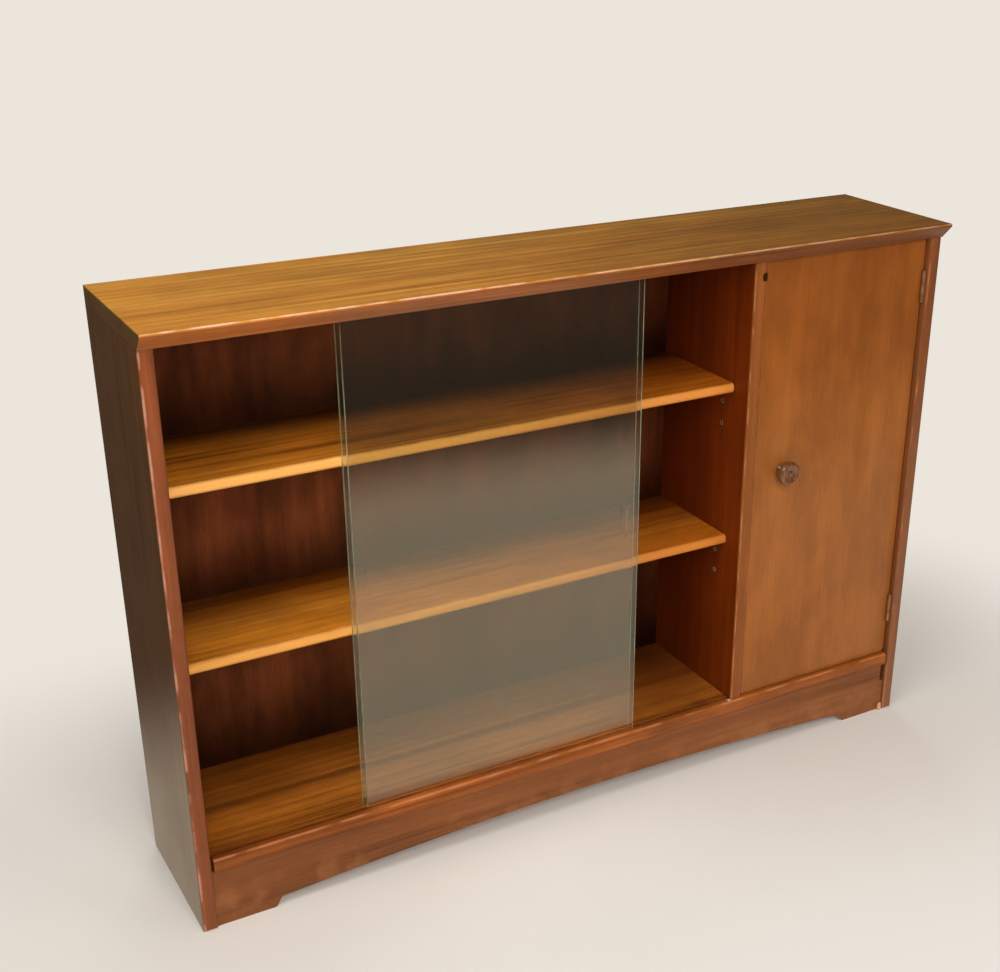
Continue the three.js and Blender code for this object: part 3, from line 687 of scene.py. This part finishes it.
class Trees:
    """The Geometry Nodes trees: shading of boards, and the fastenings that repeat."""

    weld = 1e-6
    head_taper = 0.82
    slot_reach, slot_lift = 3.0, 0.95
    pin_dome, pin_sizes = (1.0, 0.22, 1.0), (0.85, 1.12)

    def __init__(self) -> None:
        """Builds every tree."""
        self.shading = self.build_shading()
        self.screws = self.build_screws()
        self.rims = self.build_rims()
        self.pins = self.build_pins()

    def build_shading(self) -> Tree:
        """Builds smooth shading up to an angle, with flat faces kept flat.

        Returns:
            The tree.
        """
        graph, given, out = new_group("eased shading", "Geometry", ("Geometry",),
                                      geometry="Geometry", angle=math.radians(28))
        joined = graph.make("GeometryNodeMergeByDistance", {
            "Geometry": given["Geometry"], "Distance": self.weld})
        smooth = graph.make("GeometryNodeSetShadeSmooth", {
            "Geometry": joined, "Shade Smooth": True})
        bend = graph.add("GeometryNodeInputMeshEdgeAngle").outputs["Unsigned Angle"]
        sharp = graph.make("FunctionNodeCompare", {0: bend, 1: given["Angle"]},
                           operation="GREATER_THAN")
        graph.feed(out, {"Geometry": graph.make("GeometryNodeSetShadeSmooth", {
            "Geometry": smooth, "Selection": sharp, "Shade Smooth": False}, domain="EDGE")})
        return graph.tree

    @staticmethod
    def finish(graph: Graph, out: object, material: Socket, **parts: object) -> Tree:
        """Sets a piece on points, realizes it and gives it its material.

        Args:
            graph: The tree's graph.
            out: The tree's output sockets.
            material: The material's socket.
            parts: The points, the instance, and its rotation and scale.

        Returns:
            The tree.
        """
        placed = graph.make("GeometryNodeInstanceOnPoints", labelled(parts))
        real = graph.make("GeometryNodeRealizeInstances", {0: placed})
        graph.feed(out, {"Geometry": graph.make("GeometryNodeSetMaterial", {
            "Geometry": real, "Material": material})})
        return graph.tree

    def build_screws(self) -> Tree:
        """Builds slotted screw heads that stand on points, each slot at its own angle.

        Returns:
            The tree.
        """
        graph, given, out = new_group(
            "slotted screws", "Geometry", ("Geometry",), geometry="Geometry",
            head_radius=0.0026, head_height=0.0004, slot_width=0.0006, tilt=QUARTER_TURN, seed=4,
            material="Material")
        radius, height = given["Head radius"], given["Head height"]
        head = graph.make("GeometryNodeMeshCone", {
            "Vertices": 24, "Side Segments": 2, "Radius Top": graph.times(radius, self.head_taper),
            "Radius Bottom": radius, "Depth": height})
        size = graph.combine(graph.times(radius, self.slot_reach), given["Slot width"], height)
        lift = graph.combine(z=graph.times(height, self.slot_lift))
        blade = graph.make("GeometryNodeMeshCube", {"Size": size})
        blade = graph.make("GeometryNodeTransform", {"Geometry": blade, "Translation": lift})
        slotted = graph.make("GeometryNodeMeshBoolean", {"Mesh 1": head, "Mesh 2": blade},
                             operation="DIFFERENCE", solver="EXACT")
        angle = graph.add("FunctionNodeRandomValue", {2: 0.0, 3: math.pi, "Seed": given["Seed"]},
                          data_type="FLOAT").outputs[1]
        turn = graph.make("FunctionNodeRotateEuler", {
            0: graph.combine(z=angle), 1: graph.combine(y=given["Tilt"])}, space="OBJECT")
        return self.finish(graph, out, given["Material"], points=given["Geometry"],
                           instance=slotted, rotation=turn)

    def build_rims(self) -> Tree:
        """Builds rolled metal rims round holes whose axes run along X.

        Returns:
            The tree.
        """
        graph, given, out = new_group(
            "hole rims", "Geometry", ("Geometry",), geometry="Geometry", rim_radius=0.0032,
            bead=0.0006, material="Material")
        path, bead = (graph.make("GeometryNodeCurvePrimitiveCircle", {
            "Resolution": facets, "Radius": given[label]})
            for facets, label in ((24, "Rim radius"), (8, "Bead")))
        ring = graph.make("GeometryNodeCurveToMesh", {0: path, 1: bead})
        smooth = graph.make("GeometryNodeSetShadeSmooth", {"Geometry": ring, "Shade Smooth": True})
        return self.finish(graph, out, given["Material"], points=given["Geometry"],
                           instance=smooth, rotation=(0.0, QUARTER_TURN, 0.0))

    def build_pins(self) -> Tree:
        """Builds panel pins round an upright rectangle, with small differences in size.

        Returns:
            The tree.
        """
        graph, given, out = new_group(
            "panel pins", "Geometry", ("Geometry",), geometry="Geometry", width=1.0, height=0.7,
            centre="Vector", spacing=0.1, head_radius=0.0022, seed=9, material="Material")
        loop = graph.make("GeometryNodeCurvePrimitiveQuadrilateral", {
            0: given["Width"], 1: given["Height"]})
        upright = graph.make("GeometryNodeTransform", {
            "Geometry": loop, "Translation": given["Centre"],
            "Rotation": (QUARTER_TURN, 0.0, 0.0)})
        spots = graph.make("GeometryNodeCurveToPoints", {
            "Curve": upright, "Length": given["Spacing"]}, mode="LENGTH")
        head = graph.make("GeometryNodeMeshUVSphere", {
            "Segments": 12, "Rings": 8, "Radius": given["Head radius"]})
        dome = graph.make("GeometryNodeTransform", {"Geometry": head, "Scale": self.pin_dome})
        low, high = self.pin_sizes
        size = graph.add("FunctionNodeRandomValue", {2: low, 3: high, "Seed": given["Seed"]},
                         data_type="FLOAT").outputs[1]
        return self.finish(graph, out, given["Material"], points=spots, instance=dome, scale=size)


TREES = Trees()


def grow(name: str, tree: Tree, points: list[Point], **inputs: object) -> Thing:
    """Runs a tree on a set of points and keeps the result as a plain mesh.

    Args:
        name: The new object's name.
        tree: The Geometry Nodes tree.
        points: The points that the tree starts from, or none if it makes its own.
        inputs: The tree's inputs.

    Returns:
        The new object, at the origin.
    """
    seed = mesh_object(f"{name}_points", points or [(0.0, 0.0, 0.0)], [])
    modifier = seed.modifiers.new("tree", "NODES")
    modifier.node_group = tree
    wanted = labelled(inputs)
    for item in tree.interface.items_tree:
        if item.in_out == "INPUT" and item.name in wanted:
            modifier[item.identifier] = wanted[item.name]
    bpy.context.view_layer.update()
    ready = seed.evaluated_get(bpy.context.evaluated_depsgraph_get())
    mesh = bpy.data.meshes.new_from_object(ready)
    mesh.name = name
    bpy.data.objects.remove(seed)
    return link(name, mesh)


def keep(piece: Thing, body: str, slot: str, *stands_for: str) -> None:
    """Lets a piece ride on a body, hides the CAD nodes that it stands for, and logs it.

    Args:
        piece: The finished piece.
        body: The body that carries it.
        slot: Not used.
        stands_for: CAD nodes that it takes the place of.
    """
    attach(piece, body)
    if stands_for:
        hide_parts(*stands_for)
    LOG.info("%s rides on %s, %d faces", piece.name, body, len(piece.data.polygons))


def carry(material: Material, *names: str) -> None:
    """Gives a finish and eased shading to CAD nodes, and logs them.

    Args:
        material: The finish.
        names: The nodes' names.
    """
    for name in names:
        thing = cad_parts[name]
        dress(material, thing)
        thing.modifiers.new("eased shading", "NODES").node_group = TREES.shading
        LOG.info("%s carries %s", name, material.name)


@dataclass
class Case:
    """The case: top, sides, bottom, partition, plinth and back."""

    front: float = -0.107
    half: float = 0.61
    top: float = 0.845
    floor: float = 0.11
    edge: Point = (0.2668, -0.1003, 0.0)
    groove: float = 0.0042
    pin_inset: float = 0.004
    pin_spacing: float = 0.115
    stud_pin: float = 0.008
    rim_drops: Range = (0.02, 0.055)
    wedge: tuple[Point, Point] = ((0.5815, -0.1065, 0.0), (0.5885, -0.1012, 0.013))
    wedge_lean: Point = (0.001, 0.002, 0.003)
    wedge_bevel: float = 0.0006

    def dress_top(self) -> None:
        """Varnishes the top: worn pale with a painted highlight along its front arris, painted
        shade and reflection under its top surface and on its left end, and painted shade towards
        the right.
        """
        nosing = (0.0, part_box("top_board")[0][Y] + 0.0004, self.top - 0.0004)
        # Pale line along the front arris: partly worn finish, partly a painted highlight.
        arris = Line(nosing, ALONG_X, 0.0023, (232, 182, 150), 0.8, 0.36)
        # Painted shade and reflection: the faces under the top surface darker and redder.
        below = Zone(Z, self.top - 0.0012, self.top - 0.003, (166, 122, 255))
        # Painted shade and a painted greenish reflection on the left end.
        end = Zone(X, -self.half + 0.0006, -self.half, (84, 124, 104))
        # Painted shade: the top darker towards the right.
        away = Zone(X, -0.4, self.half, (138, 132, 114))
        carry(Wood(
            "top varnish", (116, 70, 18), (192, 124, 36), (220, 160, 62), rings=0.018,
            ring_strength=0.2, wobble=1.1, streaks=0.006, specular=0.3, blotch=0.15, seed=1.0,
            lines=(arris,), zones=(below, end, away), dust=0.03).build(), "top_board")

    def dress_sides(self) -> None:
        """Varnishes the two sides: pale front arrises, partly worn finish and partly a painted
        highlight, and painted shade and a painted greenish reflection on the left side's outward
        face.
        """
        # Painted shade and a painted greenish reflection on the left side's outward face.
        outer_shade_and_reflection = Zone(X, -self.half + 0.0012, -self.half + 0.0001, (134, 174, 92))
        # Pale lines along the front arrises: partly worn finish, partly a painted highlight.
        left = Line((-self.half + 0.0015, self.front + 0.0015, 0.0), ALONG_Z, 0.0026,
                    (204, 146, 124), 0.75, 0.42)
        right = Line((self.half - 0.018, self.front + 0.001, 0.0), ALONG_Z, 0.0018,
                     (196, 128, 76), 0.5, 0.5)
        carry(Wood(
            "left side varnish", (84, 42, 24), (127, 66, 34), (148, 80, 44), Along.Z,
            ring_strength=0.2, sheen=(0.28, 0.33), specular=0.25, seed=2.0, zones=(outer_shade_and_reflection,),
            lines=(left,)).build(), "left_side")
        carry(Wood(
            "right side varnish", (96, 50, 26), (129, 73, 38), (146, 86, 48), Along.Z,
            sheen=(0.28, 0.36), specular=0.4, seed=3.0, lines=(right,)).build(), "right_side")

    def dress_bottom(self) -> None:
        """Varnishes the bottom: a redder lip with a painted highlight, each glass groove darkened
        by dirt and painted shade, dark streaks, a small pale spot, and painted shade towards the
        back.
        """
        # Painted highlight along the lip's rounded arris.
        lip = Line((0.0, self.front + 0.003, self.floor - 0.0014), ALONG_X, 0.0026,
                   (240, 160, 92), 0.5, 0.36)
        streak = Line((0.0, 0.012, self.floor), ALONG_X, 0.011, (84, 42, 10), 0.65, 0.2)
        second = Line((0.0, -0.052, self.floor), ALONG_X, 0.006, (92, 48, 12), 0.5, 0.3)
        redder = Line((0.2, 0.03, self.floor), (1.0, 1.3, 1.0), 0.24, (116, 52, 18), 0.65,
                      UNBROKEN)
        # A small pale spot at the partition's foot.
        pale_spot = Line((0.2625, -0.1005, self.floor), ALL_ROUND, 0.005, (240, 232, 220), 0.9,
                    UNBROKEN)
        # Each glass groove darkened: dirt and painted shade.
        groove_dirt_and_shade = []
        for pane in ("front_glass", "rear_glass"):
            near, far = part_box(pane)
            groove_dirt_and_shade.append(Line((0.0, (near[Y] + far[Y]) / 2, self.floor - 0.001), ALONG_X,
                                self.groove, (66, 22, 6), 0.9, UNBROKEN))
        behind = groove_dirt_and_shade[1].place[Y]
        outside = Zone(Y, behind + 0.003, behind, (196, 172, 240))
        # Painted shade: darker towards the back, and most in the rear corner.
        rear = Zone(Y, -0.08, 0.11, (175, 160, 150))
        corner = Zone(Y, 0.0, 0.105, (136, 122, 100))
        carry(Wood(
            "bottom varnish", (112, 56, 14), (170, 98, 28), (196, 122, 40), rings=0.016,
            ring_strength=0.22, streaks=0.01, sheen=(0.28, 0.42), blotch=0.22, seed=4.0,
            dust=0.02, lines=(lip, streak, second, redder, pale_spot, *groove_dirt_and_shade),
            zones=(outside, rear, corner)).build(), "bottom_board")

    def dress_partition(self) -> None:
        """Varnishes the partition: faces redder and darker than its front edge, partly their own
        tone and partly painted shade, painted shade deeper in, and a pale front edge, partly worn
        finish and partly a painted highlight.
        """
        # Faces redder and darker than the front edge: partly their own tone, partly painted shade.
        face = Zone(Y, -0.0985, -0.0955, (168, 88, 36))
        # Painted shade: darker towards the back.
        depth = Zone(Y, -0.06, 0.1, (190, 180, 170))
        # Pale line along the front edge: partly worn finish, partly a painted highlight.
        edge = Line(self.edge, ALONG_Z, 0.0016, (206, 140, 84), 0.6, 0.42)
        carry(Wood(
            "partition varnish", (104, 54, 22), (137, 76, 34), (154, 90, 42), Along.Z,
            streaks=0.01, sheen=(0.3, 0.42), specular=0.16, seed=5.0, zones=(face, depth),
            lines=(edge,)).build(), "partition")

    def dress_plinth(self) -> None:
        """Varnishes the plinth, scuffed paler along its foot."""
        foot = Line((0.0, self.front + 0.006, 0.02), (0.0, 1.0, 0.35), 0.016, (168, 108, 66),
                    0.35, 0.5)
        carry(Wood(
            "plinth varnish", (94, 52, 26), (126, 73, 38), (140, 85, 46), rings=0.018,
            streaks=0.012, sheen=(0.34, 0.5), specular=0.16, seed=6.0, lines=(foot,)).build(),
            "front_plinth")

    def dress_back(self) -> None:
        """Stains the back panel, with painted shade above the boards of the bay and towards the
        right.
        """
        low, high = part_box("back_panel")
        side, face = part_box("partition")[0][X], (low[Y] + high[Y]) / 2
        # Painted shade above each board of the bay, fading upwards.
        shades = (Shade(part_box("upper_shelf")[1][Z], 0.13, side, face, (46, 42, 40)),
                  Shade(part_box("lower_shelf")[1][Z], 0.11, side, face, (66, 60, 54)),
                  Shade(self.floor, 0.19, side, face, (42, 39, 36)))
        # Painted shade: darker towards the right.
        dimmer = Zone(X, -0.35, 0.1, (190, 180, 170))
        carry(Wood(
            "back panel stain", (72, 34, 17), (96, 47, 22), (115, 59, 30), Along.Z, rings=0.04,
            ring_strength=0.06, wobble=2.6, streaks=0.03, sheen=(0.5, 0.65), specular=0.08,
            arris=0.0003, blotch=0.38, seed=7.0, zones=(dimmer,), shades=shades).build(),
            "back_panel")

    def dress_hidden(self) -> None:
        """Gives the rail, blocks, dowels and stop their bare wood."""
        hidden = [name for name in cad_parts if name.startswith(("plinth_", "top_dowel_"))]
        carry(Wood(
            "bare softwood", (132, 98, 62), (172, 136, 94), (192, 158, 114), rings=0.006,
            ring_strength=0.35, streaks=0.006, pores=0.1, sheen=(0.6, 0.8), seed=8.0).build(),
            "rear_rail", "door_stop", *hidden)

    def add_fastenings(self, steel: Material) -> None:
        """Adds the back's pins and the rims of the empty stud holes.

        Args:
            steel: The pins' and the rims' finish.
        """
        low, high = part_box("back_panel")
        centre = ((low[X] + high[X]) / 2, high[Y], (low[Z] + high[Z]) / 2)
        pins = grow("back_pins", TREES.pins, [], width=high[X] - low[X] - 2 * self.pin_inset,
                    height=high[Z] - low[Z] - 2 * self.pin_inset, centre=centre,
                    spacing=self.pin_spacing, seed=9, material=steel)
        keep(pins, "cabinet", "steel")
        points = []
        for shelf in Shelves.names:
            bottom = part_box(shelf)[0][Z]
            for row in ("front", "rear"):
                for side, inward in (("left", 1), ("right", -1)):
                    start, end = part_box(f"{shelf}_stud_{row}_{side}")
                    face = (start if inward > 0 else end)[X] + inward * self.stud_pin
                    for drop in self.rim_drops:
                        points.append((face, (start[Y] + end[Y]) / 2, bottom - drop))
        keep(grow("hole_rims", TREES.rims, points, material=steel), "cabinet", "steel")

    def add_wedge(self) -> None:
        """Adds the pale sliver of wood packed in at the right foot."""
        (x0, y0, z0), (x1, y1, z1) = self.wedge
        inward, back, drop = self.wedge_lean
        points = [(x0, y0, z0), (x1, y0, z0), (x1, y1, z0), (x0, y1, z0),
                  (x0 + inward, y0 + back, z1 - drop), (x1, y0 + back, z1), (x1, y1, z1),
                  (x0 + inward, y1, z1 - drop)]
        faces = [(3, 2, 1, 0), (0, 1, 5, 4), (1, 2, 6, 5), (2, 3, 7, 6), (3, 0, 4, 7),
                 (4, 5, 6, 7)]
        wedge = mesh_object("foot_wedge", points, faces)
        bevel = wedge.modifiers.new("bevel", "BEVEL")
        bevel.width, bevel.segments = self.wedge_bevel, 2
        dress(Wood(
            "pale sliver", (190, 130, 96), (222, 166, 128), (236, 190, 150), Along.Z,
            rings=0.004, ring_strength=0.1, streaks=0.008, sheen=(0.5, 0.7), specular=0.25,
            seed=9.0).build(), wedge)
        keep(wedge, "cabinet", "hidden_wood")


@dataclass
class Shelves:
    """The shelves and their studs, the cupboard's last."""

    names: tuple[str, ...] = ("upper_shelf", "lower_shelf", "cupboard_shelf")
    # Tints of the painted shade in each shelf's rear corner.
    corners: tuple[Colour, ...] = ((34, 28, 24), (84, 72, 66), (84, 72, 66))
    nosing: float = 0.0096
    nosing_strength: float = 0.72
    nosing_highlight_drop: float = 0.28

    def dress_shelves(self, brass: Material) -> None:
        """Gives the shelves their varnish, worn paler with a painted highlight along the nosing and
        with painted shade towards the back and the right, and the studs their brass.

        Args:
            brass: The studs' finish.
        """
        for number, (name, corner_shade_tint) in enumerate(zip(self.names, self.corners)):
            low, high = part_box(name)
            # Pale line along the nosing: partly worn finish, partly a painted highlight, dimmer on
            # each lower shelf.
            nosing_worn_and_highlight = Line((0.0, low[Y] + 0.0005, high[Z] - 0.006), (0.0, 1.0, 0.5), self.nosing,
                        (242, 178, 98), self.nosing_strength - self.nosing_highlight_drop * number, 0.08)
            # Painted shade: darker towards the back, most in the rear corner, and darker towards
            # the right.
            rear = Zone(Y, low[Y] + 0.008, high[Y] - 0.02, (150, 124, 110))
            corner = Zone(Y, high[Y] - 0.09, high[Y] - 0.005, corner_shade_tint)
            away = Zone(X, -0.3, 0.26, (204, 154, 118))
            carry(Wood(
                f"shelf varnish {number + 1}", (128, 68, 14), (192, 116, 30), (220, 146, 48),
                rings=0.016, specular=0.12, blotch=0.2, seed=11.0 + number, lines=(nosing_worn_and_highlight,),
                zones=(rear, corner, away), dust=0.02).build(), name)
            carry(brass, *(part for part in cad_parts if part.startswith(f"{name}_stud")))


@dataclass
class SlidingGlass:
    """The two sliding panes."""

    names: tuple[str, str] = ("front_glass", "rear_glass")
    skin: float = 0.00012
    inset: float = 0.0003

    def dress_panes(self) -> None:
        """Gives each pane clear glass and its upright edges a ground face, just under the glass."""
        glass = Pane("clear glass").build()
        ground = GroundEdge("ground glass edge").build()
        for name in self.names:
            dress(glass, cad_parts[name])
            low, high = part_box(name)
            points, faces = [], []
            for face in (low[X] + self.skin, high[X] - 2 * self.skin):
                first = len(points)
                for x in (face, face + self.skin):
                    for y in (low[Y] + self.inset, high[Y] - self.inset):
                        points += [(x, y, low[Z] + self.inset), (x, y, high[Z] - self.inset)]
                faces += [tuple(first + corner for corner in side) for side in (
                    (0, 1, 3, 2), (4, 6, 7, 5), (0, 4, 5, 1), (2, 3, 7, 6), (0, 2, 6, 4),
                    (1, 5, 7, 3))]
            edges = mesh_object(f"{name}_edges", points, faces)
            dress(ground, edges)
            keep(edges, name, "glass")


@dataclass
class Cupboard:
    """The hinged door with its knob, hinges and catch."""

    knob_radius: float = 0.019
    knob_length: float = 0.023
    knob_foot: float = 0.61
    knob_curves: tuple[tuple[Range, ...], ...] = (
        ((0.61, 0.12), (0.45, 0.14), (0.45, 0.3)),
        ((0.45, 0.46), (1.0, 0.44), (1.0, 0.68)),
        ((1.0, 0.9), (0.9, 1.0), (0.76, 1.0)),
        ((0.62, 1.0), (0.56, 0.86), (0.24, 0.86)),
        ((0.24, 0.95), (0.12, 0.95), (0.0, 0.95)),
    )
    steps: int = 12
    screw_drops: tuple[float, ...] = (0.009, 0.025, 0.041)
    screw_depths: tuple[float, ...] = (0.0075, 0.0105, 0.0075)
    case_leaf: float = 0.0012
    door_leaf: float = 0.0003

    def dress_door(self) -> None:
        """Gives the door its plain veneer and a pale left arris, partly worn finish and partly a
        painted highlight.
        """
        x, y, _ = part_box("cupboard_door")[0]
        # Pale line along the left arris: partly worn finish, partly a painted highlight.
        left = Line((x + 0.0006, y + 0.0006, 0.0), ALONG_Z, 0.0014, (196, 128, 70), 0.5, 0.45)
        above = Zone(Z, 0.46, 0.74, (208, 182, 138))
        below = Zone(Z, 0.42, 0.22, (250, 240, 215))
        carry(Wood(
            "door veneer", (140, 82, 34), (148, 87, 38), (154, 92, 42), Along.Z, rings=0.05,
            ring_strength=0.03, wobble=1.0, streaks=0.022, pores=0.08, sheen=(0.28, 0.36),
            specular=0.22, blotch=0.16, seed=15.0, lines=(left,), zones=(above, below)).build(),
            "cupboard_door")

    def add_knob(self) -> None:
        """Turns the knob, with its waist, full head and dished face."""
        low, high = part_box("door_knob")
        centre = ((low[X] + high[X]) / 2, high[Y], (low[Z] + high[Z]) / 2)
        profile = [(0.0, 0.0), (self.knob_foot * self.knob_radius, 0.0)]
        start = (self.knob_foot, 0.0)
        for first, second, end in self.knob_curves:
            curve = [Vector((*spot, 0.0)) for spot in (start, first, second, end)]
            for spot in interpolate_bezier(*curve, self.steps)[1:]:
                profile.append((spot.x * self.knob_radius, spot.y * self.knob_length))
            start = end
        knob = turned("turned_knob", profile, centre)
        dress(Wood(
            "knob polish", (62, 32, 16), (112, 66, 36), (168, 118, 74), Along.Z, rings=0.006,
            ring_strength=0.3, streaks=0.004, sheen=(0.18, 0.3), specular=0.5, coat=0.4,
            relief=0.04, seed=21.0).build(), knob)
        keep(knob, "cupboard_door", "knob_wood", "door_knob")

    def dress_fittings(self, brass: Material, steel: Material, dark: Material) -> None:
        """Gives the hinges, the catch and the knob's screw their metals.

        Args:
            brass: The hinges' and the catch case's finish.
            steel: The ball's and the screw's finish.
            dark: The strike's finish.
        """
        carry(brass, *(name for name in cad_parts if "_hinge_" in name), "catch_case")
        carry(steel, "catch_ball", "knob_screw")
        carry(dark, "catch_strike")

    def add_screws(self, brass: Material) -> None:
        """Adds the hinges' screws, on the leaf of the case and on the leaf of the door.

        Args:
            brass: The screws' finish.
        """
        for leaf, body, tilt in (("frame", "cabinet", -QUARTER_TURN),
                                 ("door", "cupboard_door", QUARTER_TURN)):
            points = []
            for level in ("upper", "lower"):
                low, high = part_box(f"{level}_hinge_{leaf}_leaf")
                face = (high[X] - self.case_leaf if leaf == "frame"
                        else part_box("cupboard_door")[1][X] + self.door_leaf)
                for drop, depth in zip(self.screw_drops, self.screw_depths):
                    points.append((face, high[Y] - depth, low[Z] + drop))
            screws = grow(f"{leaf}_hinge_screws", TREES.screws, points, head_height=0.00014,
                          slot_width=0.0006, tilt=tilt, seed=4, material=brass)
            keep(screws, body, "brass")


@dataclass(frozen=True)
class Lamp:
    """A soft square lamp, and whether sheens and panes mirror it."""

    name: str
    place: Point
    size: float
    power: float
    mirrored: bool = False


@dataclass
class Studio:
    """The floor, the lamps and the camera."""

    eye: Point = (-1.0106, -1.7697, 1.3307)
    yaw: float = 0.54158
    pitch: float = 0.42815
    roll: float = -0.01283
    lens: float = 53.9
    film: float = 36.0
    shift: Range = (-0.08744, 0.0603)
    horizon: float = 60.0
    pale: Colour = (236, 229, 220)
    clouded: Colour = (232, 224, 214)
    floor_patches: float = 1.2
    floor_sheen: Range = (0.6, 0.7)
    # Tint of the floor's glow in reflections: a painted reflection.
    warm: Colour = (252, 235, 208)
    surround: float = 0.24
    # Strength of the surround and the far floor in reflections: a painted dim reflection.
    mirrored: float = 0.11
    footprint: Point = (0.61, 0.125, 0.0)
    shadow_end: Range = (0.05, 0.7)
    pool: Point = (0.0, -0.5, 0.0)
    pool_shape: Point = (0.4, 1.0, 0.0)
    pool_edge: Range = (0.75, 1.2)
    target: Point = (0.0, 0.0, 0.4)
    lamps: tuple[Lamp, ...] = (
        Lamp("key", (-0.6, -2.7, 1.9), 1.6, 64.0),
        Lamp("fill", (1.9, -2.4, 1.5), 1.3, 13.0),
        Lamp("above", (-1.1, -0.7, 2.0), 1.2, 18.0, mirrored=True),
        Lamp("rear", (0.6, 3.0, 1.7), 2.2, 34.0),
    )

    def add_camera(self) -> None:
        """Sets the camera where the photograph was taken from."""
        data = bpy.data.cameras.new("camera")
        data.lens, data.sensor_width, data.clip_end = self.lens, self.film, self.horizon
        data.shift_x, data.shift_y = self.shift
        camera = link("camera", data)
        turn = (Matrix.Rotation(-self.yaw, 4, "Z")
                @ Matrix.Rotation(QUARTER_TURN - self.pitch, 4, "X")
                @ Matrix.Rotation(-self.roll, 4, "Z"))
        camera.matrix_world = Matrix.Translation(self.eye) @ turn
        bpy.context.scene.camera = camera

    def add_floor(self) -> None:
        """Lays a pale floor, of one tone beyond the case's shadow.

        Sheens and panes mirror it as a glow, not lit: a painted reflection of a warm pale pool in
        front of the case and a dimmer room beyond.
        """
        reach = self.horizon
        floor = mesh_object("floor", [(-reach, -reach, 0.0), (reach, -reach, 0.0),
                                      (reach, reach, 0.0), (-reach, reach, 0.0)], [(0, 1, 2, 3)])
        material, graph, shader = new_material("pale floor")
        here = graph.here()
        graph.feed(shader.inputs, {
            **graph.mottled(self.floor_patches, self.floor_sheen, self.clouded, self.pale),
            "Specular IOR Level": 0.1})
        # For reflections the floor is a glow, not lit: a painted reflection, warm and pale in front
        # of the case, dim beyond.
        glossy = graph.ray("Is Glossy Ray")
        beside = graph.vector("SUBTRACT", graph.vector("ABSOLUTE", here), self.footprint)
        away = graph.length(graph.vector("MAXIMUM", beside))
        far = graph.times(graph.direct(), graph.remap(away, *self.shadow_end))
        offset = graph.vector("SUBTRACT", here, self.pool)
        spread = graph.length(graph.vector("MULTIPLY", offset, self.pool_shape))
        unlit = graph.times(glossy, graph.remap(spread, *self.pool_edge))
        glow = graph.make("ShaderNodeEmission", {
            "Color": graph.blend(glossy, linear(self.pale), linear(self.warm)),
            "Strength": graph.remap(unlit, 0.0, 1.0, 1.0, self.mirrored, smooth=False)})
        graph.surface(graph.math("MAXIMUM", far, glossy), shader.outputs[0], glow)
        dress(material, floor)

    def add_lamps(self) -> None:
        """Hangs the soft lamps, each turned to the case's middle, and sets an even surround, dimmer
        in reflections than in its light on the case: a painted reflection.
        """
        for lamp in self.lamps:
            data = bpy.data.lights.new(lamp.name, "AREA")
            data.size, data.energy = lamp.size, lamp.power
            light = link(lamp.name, data)
            light.location, light.visible_glossy = lamp.place, lamp.mirrored
            aim = Vector(self.target) - Vector(lamp.place)
            light.rotation_euler = aim.to_track_quat("-Z", "Y").to_euler()
        world = bpy.data.worlds.new("surround")
        world.use_nodes = True
        graph = Graph(world.node_tree)
        # Reflections see the surround dimmer than it lights the case: a painted reflection.
        mirrored = graph.remap(graph.ray("Is Glossy Ray"), 0.0, 1.0, self.surround,
                               self.mirrored, smooth=False)
        graph.feed(graph.find("BACKGROUND").inputs, {
            "Color": linear(self.pale),
            "Strength": graph.remap(graph.direct(), 0.0, 1.0, mirrored, 1.0, smooth=False)})
        bpy.context.scene.world = world
        bpy.context.scene.view_settings.view_transform = "Standard"


def main() -> None:
    """Builds and dresses every sub-assembly, then the studio."""
    logging.basicConfig(level=logging.INFO, format="%(name)s: %(message)s")
    brass = Metal("old brass", (172, 126, 84), (112, 74, 46), bare=0.55).build()
    steel = Metal("plain steel", (206, 202, 194), (146, 138, 128), bare=0.75).build()
    dark = Metal("dark catch metal", (156, 100, 62), (104, 62, 36), (0.45, 0.65)).build()
    case = Case()
    case.dress_top()
    case.dress_sides()
    case.dress_bottom()
    case.dress_partition()
    case.dress_plinth()
    case.dress_back()
    case.dress_hidden()
    case.add_fastenings(steel)
    case.add_wedge()
    Shelves().dress_shelves(brass)
    SlidingGlass().dress_panes()
    cupboard = Cupboard()
    cupboard.dress_door()
    cupboard.add_knob()
    cupboard.dress_fittings(brass, steel, dark)
    cupboard.add_screws(brass)
    studio = Studio()
    studio.add_camera()
    studio.add_floor()
    studio.add_lamps()


if __name__ == "__main__":
    main()
